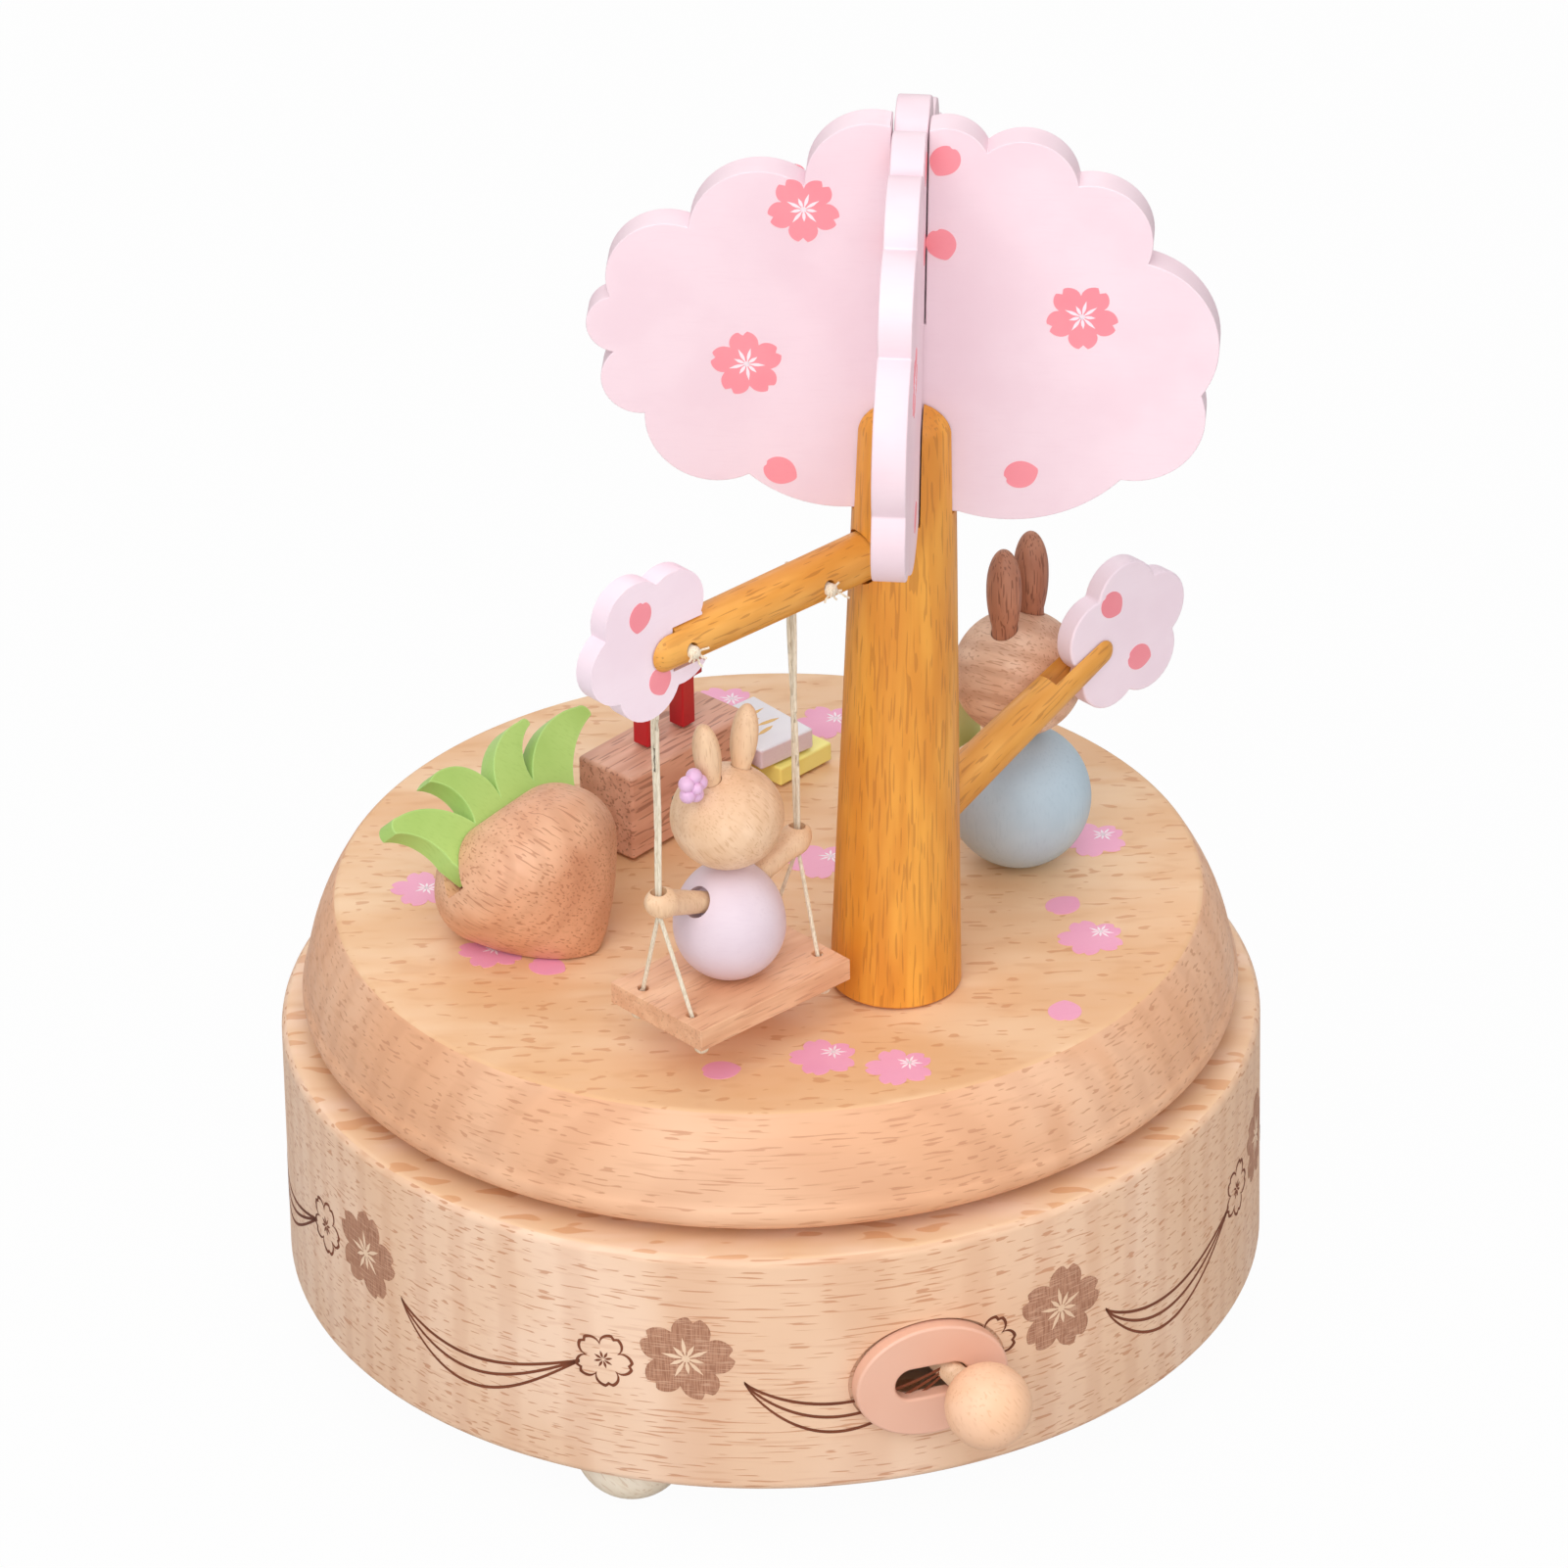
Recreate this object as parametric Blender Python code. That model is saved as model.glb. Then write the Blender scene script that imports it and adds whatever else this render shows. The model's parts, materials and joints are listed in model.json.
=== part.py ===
"""Wind-up music box: a turned wooden drum with a start lever under a turntable with a tree and a swing.

Metres, +Z up. The origin is on the turning axis, at the drum's flat underside; the lever is on -Y.
"""
import math

import bmesh
import bpy
from mathutils import Matrix, Vector

# Fits
GAP = 0.0003
RUNNING = 0.0003
SLOT_GAP = 0.0002
TINY = 1e-6

# Drum, cover and feet
DRUM_RADIUS = 0.0600
DRUM_HEIGHT = 0.0327
DRUM_TOP = 0.0070
DRUM_EDGE = 0.0012
CAVITY_RADIUS = 0.0390
MOUTH_RADIUS = 0.0432
COVER_THICKNESS = 0.0030
FOOT_COUNT = 3
FOOT_RADIUS = 0.0071
FOOT_HEIGHT = 0.0068
FOOT_OFFSET = 0.0010
FOOT_FIRST_ANGLE = math.radians(-128.0)
FOOT_PEG_RADIUS = 0.0020
FOOT_PEG_LENGTH = 0.0050
COVER_SCREW_CIRCLE = 0.0408
COVER_SCREW_ANGLE = math.radians(-98.0)

# Small screws
SCREW_HEAD_RADIUS = 0.0014
SCREW_HEAD_HEIGHT = 0.0010
SCREW_SHANK_RADIUS = 0.0008
SCREW_LENGTH = 0.0060

# Turntable
TABLE_GAP = 0.0018
TABLE_THICKNESS = 0.0145
TABLE_INSET = 0.0032
TABLE_SLANT = 0.0037
TABLE_LIP = 0.0036
TABLE_ROUND = 0.0008
REST_ANGLE = math.radians(-17.5)
HUB_RADIUS = 0.0090
HUB_FLANGE = 0.0024
HUB_BOSS_RADIUS = 0.0045
HUB_HEIGHT = 0.0080
SHAFT_RADIUS = 0.0025

# Tree
TREE_PLACE = Vector((0.0151, -0.0227))
TREE_LEAN = math.radians(1.6)
TRUNK_HEIGHT = 0.0802
TRUNK_BASE_RADIUS = 0.0079
TRUNK_TOP_RADIUS = 0.0059
CANOPY_THICKNESS = 0.0040
CANOPY_BASE = 0.0653
CANOPY_REACH = 0.0347
CANOPY_LAP_RISE = 0.0247
CANOPY_ANGLE = math.radians(-4.5)
BRANCH_ANGLE = math.radians(42.0)
BRANCH_ROOT_RADIUS = 0.0030
BRANCH_DEPTH = 0.0020
LEFT_BRANCH_HEIGHT = 0.0597
LEFT_BRANCH_REACH = 0.0392
LEFT_BRANCH_TIP_RADIUS = 0.0028
RIGHT_BRANCH_REACH = 0.0354
RIGHT_BRANCH_HEIGHT = 0.0332
RIGHT_BRANCH_RISE = math.radians(22.7)
RIGHT_BRANCH_TIP_RADIUS = 0.0022
BLOSSOM_THICKNESS = 0.0026
LEFT_BLOSSOM_RADIUS = 0.0097
LEFT_BLOSSOM_REACH = 0.0386
LEFT_BLOSSOM_LIFT = 0.0018
LEFT_BLOSSOM_SLOT = 0.0040
RIGHT_BLOSSOM_RADIUS = 0.0098
RIGHT_BLOSSOM_REACH = 0.0378
RIGHT_BLOSSOM_LIFT = 0.0
RIGHT_BLOSSOM_SLOT = 0.0100

# Swing
STRING_OUTER_REACH = 0.0338
STRING_INNER_REACH = 0.0123
STRING_OFFSET = 0.0039
STRING_RADIUS = 0.00070
STRAND_RADIUS = 0.00045
STRING_TOP = 0.0004
KNOT_RADIUS = 0.0012
SEAT_KNOT_RADIUS = 0.0009
PEG_RADIUS = 0.00055
SEAT_LIFT = 0.0090
HAND_ABOVE_SEAT = 0.0147
SEAT_LENGTH = 0.0240
SEAT_WIDTH = 0.0160
SEAT_THICKNESS = 0.0028
SEAT_HOLE_X = 0.0099
SEAT_HOLE_Y = 0.0052
HAND_X = 0.0111

# Small rabbit on the swing
SMALL_BODY_RADIUS = 0.00675
SMALL_BODY_ABOVE = 0.0082
SMALL_BODY_FLOOR = 0.0062
SMALL_HEAD_RADIUS = 0.0068
SMALL_HEAD_HALF_HEIGHT = 0.0063
SMALL_EAR_RADIUS = 0.0019
SMALL_EAR_LENGTH = 0.0094
SMALL_EAR_SPREAD = 0.0024
ARM_RADIUS = 0.0016
ARM_REACH = 0.0130
HAIR_FLOWER_RADIUS = 0.0023
HAIR_FLOWER_THICKNESS = 0.0014

# Big rabbit on the turntable
BIG_PLACE = Vector((0.0308, 0.0053))
BIG_FACING = math.radians(143.0)
BIG_BODY_RADIUS = 0.0088
BIG_BODY_ABOVE = 0.0092
BIG_BODY_FLOOR = 0.0085
BIG_HEAD_RADIUS = 0.0080
BIG_HEAD_HALF_HEIGHT = 0.0078
BIG_EAR_RADIUS = 0.00215
BIG_EAR_LENGTH = 0.0114
BIG_EAR_SPREAD = 0.0028
EAR_DEPTH = 0.0022
CARD_WIDTH = 0.0064
CARD_HEIGHT = 0.0085
CARD_THICKNESS = 0.0016
CARD_LIFT = 0.0177

# Turnip
TURNIP_INSET = 0.0226
TURNIP_SIDE = math.radians(198.1)
TURNIP_LIFT = 0.0087
TURNIP_RADIUS = 0.0115
TURNIP_CROWN = Vector((-0.55, 0.414, 0.72)).normalized()
TURNIP_ACROSS = Vector((0.65, 0.76, 0.0))
LEAF_THICKNESS = 0.0030
LEAF_ROOT = 0.0026

# Block with a gate, tray and box
BLOCK_PLACE = Vector((-0.0124, 0.0170))
BLOCK_ANGLE = math.radians(47.6)
BLOCK_SIZE = Vector((0.0218, 0.0090, 0.0115))
GATE_LEG = 0.0022
GATE_SPAN = 0.0065
GATE_HEIGHT = 0.0105
GATE_DEPTH = 0.0024
GATE_BEAM = 0.0018
GATE_OVERHANG = 0.0030
TRAY_PLACE = Vector((0.0002, 0.0314))
TRAY_ANGLE = math.radians(45.0)
TRAY_SIZE = Vector((0.0091, 0.0135, 0.0025))
PAPER_BOX_PLACE = Vector((-0.0010, 0.0297))
PAPER_BOX_ANGLE = math.radians(40.3)
PAPER_BOX_SIZE = Vector((0.0085, 0.0113, 0.0027))

# Lever
LEVER_HEIGHT = 0.0145
LEVER_PIVOT_INSET = 0.0144
LEVER_REST = math.radians(11.0)
LEVER_TRAVEL = math.radians(22.0)
LEVER_ROD_RADIUS = 0.0015
LEVER_KNOB_RADIUS = 0.00525
LEVER_KNOB_REACH = 0.0236
LEVER_KNOB_BORE = 0.0026
LEVER_HUB_RADIUS = 0.0026
LEVER_HUB_ABOVE = 0.0024
PIVOT_RADIUS = 0.0010
PIVOT_SEAT = 0.0020
RECESS_WIDTH = 0.0160
RECESS_BELOW = 0.0070
RECESS_ABOVE = 0.0050
RECESS_SKIN = 0.0095
WINDOW_WIDTH = 0.0130
PLATE_WIDTH = 0.0191
PLATE_HEIGHT = 0.0149
PLATE_THICKNESS = 0.0022
PLATE_INSET = 0.0007
SLOT_WIDTH = 0.0092
SLOT_HEIGHT = 0.0041

# Movement: its own frame has X along the music cylinder, Y across it, Z up
BEDPLATE_THICKNESS = 0.0020
BEDPLATE_RADIUS = 0.0384
BEDPLATE_REAR = 0.0200
BEDPLATE_SIDE = 0.0245
AXLE_HEIGHT = 0.0145
CROWN_TEETH = 40
CROWN_RADIUS = 0.0122
CROWN_FACE = 0.0024
CROWN_TOOTH = 0.00125
CROWN_DISC = 0.0016
PINION_TEETH = 10
PINION_WIDTH = 0.0018
TRAIN_MODULE = 0.0005
CYLINDER_GEAR_TEETH = 32
GOVERNOR_PINION_TEETH = 10
GEAR_WIDTH = 0.0014
CYLINDER_START = 0.0156
CYLINDER_LENGTH = 0.0160
CYLINDER_RADIUS = 0.0053
CYLINDER_PIN = 0.0004
NOTES = 18
GEAR_START = 0.0321
ARBOR_RADIUS = 0.0012
ARBOR_START = 0.0106
ARBOR_END = 0.0358
BRACKET_THICKNESS = 0.0012
INNER_BRACKET = 0.0138
OUTER_BRACKET = 0.0342
BRACKET_SIDE = 0.0040
BRACKET_BELOW = 0.0045
COMB_THICKNESS = 0.0010
COMB_TOOTH = 0.0006
COMB_LONG = 0.0080
COMB_SHORT = 0.0050
COMB_BACK = 0.0205
COMB_SEAT_DEPTH = 0.0055
WHEEL_TEETH = 16
WHEEL_WIDTH = 0.0010
WHEEL_REACH = 0.0260
GOVERNOR_ARBOR_RADIUS = 0.0008
WORM_STARTS = 2
WORM_RADIUS = 0.0015
WORM_TOOTH = 0.0004
WORM_LENGTH = 0.0044
FLY_SHAFT_RADIUS = 0.0006
FLY_BOTTOM = 0.0036
FLY_WING_SPAN = 0.0130
FLY_WING_HEIGHT = 0.0027
FLY_WING_THICKNESS = 0.0008
FLY_WING_BASE = 0.0050
FLY_DISC_RADIUS = 0.0030
FLY_DISC_THICKNESS = 0.0008
FLY_DISC_BASE = 0.0082
FOOT_PLATE = 0.0009
BRAKE_ARM_WIDTH = 0.0010
BRAKE_ARM_HEIGHT = 0.0008
BARREL_RADIUS = 0.0130
BARREL_WALL = 0.0010
BARREL_BASE = 0.0036
BARREL_TOP = 0.0104
SPRING_TURNS = 5
SPRING_STRIP = 0.0005
PILLAR_RADIUS = 0.0016
PILLAR_CIRCLE = 0.0163

# Heights and places that follow from the sizes above
CAVITY_TOP = DRUM_HEIGHT - DRUM_TOP
SHOULDER = COVER_THICKNESS + GAP
FOOT_CIRCLE = (DRUM_RADIUS + MOUTH_RADIUS) / 2.0 - FOOT_OFFSET
TABLE_BASE = DRUM_HEIGHT + TABLE_GAP
TABLE_RADIUS = DRUM_RADIUS - TABLE_INSET
TABLE_TOP_RADIUS = TABLE_RADIUS - TABLE_SLANT
DECK = TABLE_BASE + TABLE_THICKNESS
CANOPY_MIDDLE = CANOPY_BASE + CANOPY_LAP_RISE
SEAT_DROP = LEFT_BRANCH_HEIGHT - SEAT_LIFT
HAND_DROP = SEAT_DROP - HAND_ABOVE_SEAT
TURNIP_REACH = TABLE_TOP_RADIUS - TURNIP_INSET
TURNIP_PLACE = Vector((math.cos(TURNIP_SIDE), math.sin(TURNIP_SIDE))) * TURNIP_REACH
LEVER_PIVOT = DRUM_RADIUS - LEVER_PIVOT_INSET
RECESS_DEPTH = DRUM_RADIUS - RECESS_SKIN
PLATE_BACK = DRUM_RADIUS - PLATE_INSET
PLATE_TOP = CAVITY_TOP - GAP
PLATE_BASE = PLATE_TOP - BEDPLATE_THICKNESS
HANG = PLATE_BASE - GAP
PINION_MODULE = 2.0 * CROWN_RADIUS / CROWN_TEETH
PINION_RADIUS = PINION_MODULE * PINION_TEETH / 2.0
GEAR_RADIUS = TRAIN_MODULE * CYLINDER_GEAR_TEETH / 2.0
GOVERNOR_SIDE = GEAR_RADIUS + TRAIN_MODULE * GOVERNOR_PINION_TEETH / 2.0
WHEEL_RADIUS = TRAIN_MODULE * WHEEL_TEETH / 2.0
FLY_SIDE = GOVERNOR_SIDE + WHEEL_RADIUS + WORM_RADIUS
FLY_DISTANCE = math.hypot(WHEEL_REACH, FLY_SIDE)
MOVEMENT_ANGLE = -math.pi / 2.0 - math.atan2(FLY_SIDE, WHEEL_REACH)
WORM_LEAD = WORM_STARTS * math.pi * TRAIN_MODULE
TRACK = CYLINDER_LENGTH / NOTES
BRANCH_OUT = Vector((-math.cos(BRANCH_ANGLE), -math.sin(BRANCH_ANGLE)))

for old in list(bpy.data.objects):
    bpy.data.objects.remove(old, do_unlink=True)


def material(name, colour, roughness, metallic=0.0):
    """A plain Principled finish."""
    made = bpy.data.materials.new(name)
    made.use_nodes = True
    shader = made.node_tree.nodes["Principled BSDF"]
    shader.inputs["Base Color"].default_value = (*colour, 1.0)
    shader.inputs["Roughness"].default_value = roughness
    shader.inputs["Metallic"].default_value = metallic
    return made


BEECH = material("beech", (0.72, 0.48, 0.29), 0.5)
PALE_WOOD = material("pale_wood", (0.80, 0.62, 0.40), 0.5)
STAINED_WOOD = material("stained_wood", (0.62, 0.32, 0.07), 0.45)
BROWN_WOOD = material("brown_wood", (0.50, 0.25, 0.15), 0.5)
DARK_DOWEL = material("dark_dowel", (0.38, 0.19, 0.11), 0.5)
PINK_BOARD = material("pink_board", (0.92, 0.72, 0.80), 0.5)
LEAF_PAINT = material("leaf_paint", (0.42, 0.62, 0.22), 0.5)
RED_PAINT = material("red_paint", (0.42, 0.02, 0.03), 0.4)
LILAC_PAINT = material("lilac_paint", (0.62, 0.53, 0.68), 0.5)
BLUE_PAINT = material("blue_paint", (0.36, 0.56, 0.66), 0.5)
YELLOW_PAINT = material("yellow_paint", (0.88, 0.80, 0.35), 0.5)
WHITE_CARD = material("white_card", (0.86, 0.86, 0.84), 0.6)
PINK_PLASTIC = material("pink_plastic", (0.78, 0.43, 0.36), 0.4)
COTTON = material("cotton", (0.80, 0.74, 0.62), 0.9)
COVER_BOARD = material("cover_board", (0.55, 0.40, 0.26), 0.7)
BRASS = material("brass", (0.75, 0.56, 0.25), 0.3, 1.0)
STEEL = material("steel", (0.58, 0.58, 0.60), 0.3, 1.0)


def pivot(name, place, parent=None):
    """An empty on a joint's axis or at the frame of a group of pieces."""
    empty = bpy.data.objects.new(name, None)
    bpy.context.scene.collection.objects.link(empty)
    empty.parent = parent
    empty.matrix_basis = place
    return empty


def add_piece(name, bm, finish, parent=None, place=Matrix()):
    """Turn a bmesh into a named object under its parent."""
    bmesh.ops.recalc_face_normals(bm, faces=bm.faces)
    mesh = bpy.data.meshes.new(name)
    bm.to_mesh(mesh)
    bm.free()
    mesh.materials.append(finish)
    mesh.shade_smooth()
    mesh.set_sharp_from_angle(angle=math.radians(35.0))
    piece = bpy.data.objects.new(name, mesh)
    bpy.context.scene.collection.objects.link(piece)
    piece.parent = parent
    piece.matrix_basis = place
    return piece


def combine(piece, operation, tools):
    """Add or take away solids; the tools stay in the scene as guides."""
    for tool in tools:
        tool.hide_render = True
        tool.display_type = 'WIRE'
        boolean = piece.modifiers.new(tool.name, 'BOOLEAN')
        boolean.operation = operation
        boolean.solver = 'EXACT'
        boolean.object = tool
    return piece


def cut(piece, *tools):
    return combine(piece, 'DIFFERENCE', tools)


def join(piece, *tools):
    return combine(piece, 'UNION', tools)


def turn(angle):
    return Matrix.Rotation(angle, 4, 'Z')


def at(x, y, z):
    return Matrix.Translation((x, y, z))


def standing(angle):
    """Local X lies level at the angle, local Y points up, local Z is the face's normal."""
    return turn(angle) @ Matrix.Rotation(math.pi / 2.0, 4, 'X')


def along(direction):
    """Local Z points along a direction."""
    return Vector(direction).to_track_quat('Z', 'Y').to_matrix().to_4x4()


def turned(name, profile, steps, finish, parent=None, place=Matrix()):
    """Turn an outline of (radius, height) points about local Z."""
    bm = bmesh.new()
    verts = [bm.verts.new((radius, 0.0, height)) for radius, height in profile]
    edges = [bm.edges.new(pair) for pair in zip(verts, verts[1:])]
    if profile[0][0] > TINY:
        edges.append(bm.edges.new((verts[-1], verts[0])))
    bmesh.ops.spin(bm, geom=verts + edges, cent=(0, 0, 0), axis=(0, 0, 1), dvec=(0, 0, 0),
                   angle=2.0 * math.pi, steps=steps, use_merge=True)
    bmesh.ops.remove_doubles(bm, verts=bm.verts, dist=TINY)
    return add_piece(name, bm, finish, parent, place)


def rod(name, radius, start, end, sides, finish, parent=None, place=Matrix()):
    """A plain round rod along local Z."""
    profile = [(0.0, start), (radius, start), (radius, end), (0.0, end)]
    return turned(name, profile, sides, finish, parent, place)


def board(name, outline, thickness, finish, parent=None, place=Matrix()):
    """A flat piece: an outline in local X and Y, half its thickness to each side."""
    bm = bmesh.new()
    face = bm.faces.new([bm.verts.new((x, y, -thickness / 2.0)) for x, y in outline])
    extruded = bmesh.ops.extrude_face_region(bm, geom=[face])["geom"]
    moved = [item for item in extruded if isinstance(item, bmesh.types.BMVert)]
    bmesh.ops.translate(bm, verts=moved, vec=(0.0, 0.0, thickness))
    return add_piece(name, bm, finish, parent, place)


def block(name, size, finish, parent=None, place=Matrix(), edge=0.0):
    """A cuboid about its centre, with its edges eased."""
    bm = bmesh.new()
    bmesh.ops.create_cube(bm, size=1.0, matrix=Matrix.Diagonal((*size, 1.0)))
    if edge:
        bmesh.ops.bevel(bm, geom=bm.edges, offset=edge, segments=1, profile=0.5, affect='EDGES')
    return add_piece(name, bm, finish, parent, place)


def loft(name, rings, finish, parent=None, place=Matrix()):
    """A skin over equal rings of points, closed at both ends."""
    bm = bmesh.new()
    loops = [[bm.verts.new(point) for point in ring] for ring in rings]
    count = len(loops[0])
    for lower, upper in zip(loops, loops[1:]):
        for i in range(count):
            j = (i + 1) % count
            bm.faces.new((lower[i], lower[j], upper[j], upper[i]))
    bm.faces.new(loops[0])
    bm.faces.new(loops[-1])
    return add_piece(name, bm, finish, parent, place)


def tube(name, start, end, radius, sides, finish, parent=None):
    """A straight round strand between two points."""
    way = Vector(end) - Vector(start)
    place = Matrix.Translation(start) @ along(way)
    return rod(name, radius, 0.0, way.length, sides, finish, parent, place)


def bow(start, end, bulge, steps):
    """Points after start, up to end, on an arc that stands bulge to the right of its chord."""
    first, last = Vector(start), Vector(end)
    half = (last - first).length / 2.0
    right = Vector((last.y - first.y, first.x - last.x)).normalized()
    radius = (half * half + bulge * bulge) / (2.0 * bulge)
    centre = (first + last) / 2.0 + right * (bulge - radius)
    begin = math.atan2(first.y - centre.y, first.x - centre.x)
    sweep = 4.0 * math.atan(bulge / half)
    arc = []
    for step in range(1, steps + 1):
        angle = begin + sweep * step / steps
        arc.append((centre.x + abs(radius) * math.cos(angle), centre.y + abs(radius) * math.sin(angle)))
    return arc


def scalloped(start, arcs, steps, unit):
    """A closed outline of arcs; each arc is (x, y, bulge), in the unit's lengths."""
    outline = []
    here = start
    for x, y, bulge in arcs:
        outline += bow(here, (x, y), bulge, steps) if bulge else [(x, y)]
        here = (x, y)
    return [(x * unit, y * unit) for x, y in outline]


def egg(radius, below, above, floor, rings):
    """Half outline of an egg about its widest height, cut flat at the floor below it."""
    low = -math.asin(floor / below)
    points = [(0.0, -floor)]
    for ring in range(rings + 1):
        angle = low + (math.pi / 2.0 - low) * ring / rings
        reach = below if angle < 0.0 else above
        points.append((radius * math.cos(angle), reach * math.sin(angle)))
    points[-1] = (0.0, above)
    return points


def blossom(radius, first_angle, steps=5, petals=5):
    """Outline of a blossom with round petals."""
    valley = 0.80 * radius
    share = math.pi / petals
    bulge = radius - valley * math.cos(share)
    outline = []
    for petal in range(petals):
        ends = []
        for side in (-share, share):
            angle = first_angle + 2.0 * share * petal + side
            ends.append((valley * math.cos(angle), valley * math.sin(angle)))
        outline += bow(ends[0], ends[1], bulge, steps)
    return outline


def gear_outline(teeth, module, tip, root, root_share=0.60, tip_share=0.22):
    """Straight-flanked teeth; the shares are tooth widths as parts of the pitch."""
    pitch_radius = teeth * module / 2.0
    pitch = math.pi * module
    flanks = [(pitch_radius - root, root_share * pitch), (pitch_radius + tip, tip_share * pitch)]
    outline = []
    for tooth in range(teeth):
        middle = 2.0 * math.pi * tooth / teeth
        for radius, width in flanks:
            angle = middle - width / (2.0 * radius)
            outline.append((radius * math.cos(angle), radius * math.sin(angle)))
        for radius, width in reversed(flanks):
            angle = middle + width / (2.0 * radius)
            outline.append((radius * math.cos(angle), radius * math.sin(angle)))
    return outline


def gear(name, outline, start, end, twist, finish, parent=None, place=Matrix()):
    """A gear along local Z, its far face turned by the twist."""
    def ring(height, angle):
        spun = Matrix.Rotation(angle, 4, 'Z')
        return [spun @ Vector((x, y, height)) for x, y in outline]
    return loft(name, [ring(start, -twist / 2.0), ring(end, twist / 2.0)], finish, parent, place)


def screw(name, parent, place, length=SCREW_LENGTH):
    """A small screw: its head below local zero, its shank along local Z."""
    profile = [(0.0, -SCREW_HEAD_HEIGHT), (SCREW_HEAD_RADIUS, -SCREW_HEAD_HEIGHT),
               (SCREW_HEAD_RADIUS, 0.0), (SCREW_SHANK_RADIUS, 0.0),
               (SCREW_SHANK_RADIUS, length), (0.0, length)]
    return turned(name, profile, 8, STEEL, parent, place)


def screw_hole(name, parent, place, length=SCREW_LENGTH):
    return rod(name, SCREW_SHANK_RADIUS + GAP, -0.001, length + GAP, 10, STEEL, parent, place)


movement = pivot("movement_frame", turn(MOVEMENT_ANGLE))
turntable = pivot("turntable_axis", turn(REST_ANGLE))
lever = pivot("lever_axis", at(0.0, -LEVER_PIVOT, LEVER_HEIGHT) @ turn(LEVER_REST))


def feet_and_cover(drum):
    """Half-ball feet with pegs, and a flush cover held by three screws."""
    for number in range(FOOT_COUNT):
        angle = FOOT_FIRST_ANGLE + 2.0 * math.pi * number / FOOT_COUNT
        spot = turn(angle) @ at(FOOT_CIRCLE, 0.0, -GAP)
        shape = egg(FOOT_RADIUS, FOOT_HEIGHT + 0.0004, FOOT_RADIUS, FOOT_HEIGHT, 5)
        bowl = [point for point in shape if point[1] <= TINY]
        profile = bowl + [(FOOT_RADIUS, 0.0), (FOOT_PEG_RADIUS, 0.0),
                          (FOOT_PEG_RADIUS, FOOT_PEG_LENGTH), (0.0, FOOT_PEG_LENGTH)]
        turned("foot_%d" % (number + 1), profile, 14, PALE_WOOD, None, spot)
        hole = rod("hole_foot_%d" % (number + 1), FOOT_PEG_RADIUS + GAP, -0.001,
                   FOOT_PEG_LENGTH + 2.0 * GAP, 14, BEECH, None, spot)
        cut(drum, hole)
    cover = rod("bottom_cover", MOUTH_RADIUS - GAP, 0.0, COVER_THICKNESS, 48, COVER_BOARD)
    for number in range(FOOT_COUNT):
        angle = COVER_SCREW_ANGLE + 2.0 * math.pi * number / FOOT_COUNT
        spot = turn(angle) @ at(COVER_SCREW_CIRCLE, 0.0, SCREW_HEAD_HEIGHT + GAP)
        screw("cover_screw_%d" % (number + 1), None, spot)
        hole = screw_hole("hole_cover_%d" % (number + 1), None, spot)
        sink = rod("sink_cover_%d" % (number + 1), SCREW_HEAD_RADIUS + GAP, -0.002, 2.0 * SLOT_GAP - GAP,
                   12, STEEL, None, spot)
        cut(drum, hole)
        cut(cover, hole, sink)


def base_drum():
    """The turned drum: hollow from below, with a lever recess through its wall."""
    edge = DRUM_EDGE
    profile = [(DRUM_RADIUS - edge, 0.0), (DRUM_RADIUS, edge), (DRUM_RADIUS, DRUM_HEIGHT - edge)]
    profile += bow((DRUM_RADIUS, DRUM_HEIGHT - edge), (DRUM_RADIUS - edge, DRUM_HEIGHT), 0.29 * edge, 2)
    inside = [(0.0, CAVITY_TOP), (CAVITY_RADIUS, CAVITY_TOP), (CAVITY_RADIUS, SHOULDER),
              (MOUTH_RADIUS, SHOULDER), (MOUTH_RADIUS, 0.0)]
    drum = turned("base_drum", inside + profile + [(0.0, DRUM_HEIGHT)], 44, BEECH)
    shaft_hole = rod("cut_drum_shaft", SHAFT_RADIUS + 2.0 * RUNNING, CAVITY_TOP - 0.001,
                     DRUM_HEIGHT + 0.001, 16, BEECH)
    top = LEVER_HEIGHT + RECESS_ABOVE
    deep = LEVER_HEIGHT - RECESS_BELOW
    inner = CAVITY_RADIUS - 0.003
    recess = block("cut_lever_recess", (RECESS_WIDTH, RECESS_DEPTH - inner, top - deep), BEECH, None,
                   at(0.0, -(RECESS_DEPTH + inner) / 2.0, (top + deep) / 2.0))
    window = block("cut_lever_window", (WINDOW_WIDTH, DRUM_RADIUS + 0.002 - RECESS_DEPTH + 0.001,
                                        2.0 * RECESS_ABOVE), BEECH, None,
                   at(0.0, -(DRUM_RADIUS + 0.001 + RECESS_DEPTH) / 2.0, LEVER_HEIGHT))
    seat = board("cut_plate_seat", oval(PLATE_WIDTH + 2.0 * GAP, PLATE_HEIGHT + 2.0 * GAP, 28), 0.004,
                 BEECH, None, at(0.0, -(PLATE_BACK - GAP + 0.002), LEVER_HEIGHT) @ standing(0.0))
    pin_hole = rod("cut_pivot_hole", PIVOT_RADIUS + GAP, deep - PIVOT_SEAT - GAP, top + PIVOT_SEAT + GAP,
                   12, BEECH, None, at(0.0, -LEVER_PIVOT, 0.0))
    cut(drum, shaft_hole, recess, window, seat, pin_hole)
    return drum


def oval(width, height, steps):
    angles = [2.0 * math.pi * step / steps for step in range(steps)]
    return [(width / 2.0 * math.cos(angle), height / 2.0 * math.sin(angle)) for angle in angles]


def stadium(width, height, steps):
    """A slot's outline: straight sides with round ends."""
    flat = (width - height) / 2.0
    outline = bow((flat, -height / 2.0), (flat, height / 2.0), height / 2.0, steps)
    outline += bow((-flat, height / 2.0), (-flat, -height / 2.0), height / 2.0, steps)
    return [(flat, -height / 2.0)] + outline[:steps] + [(-flat, height / 2.0)] + outline[steps:]


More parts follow.
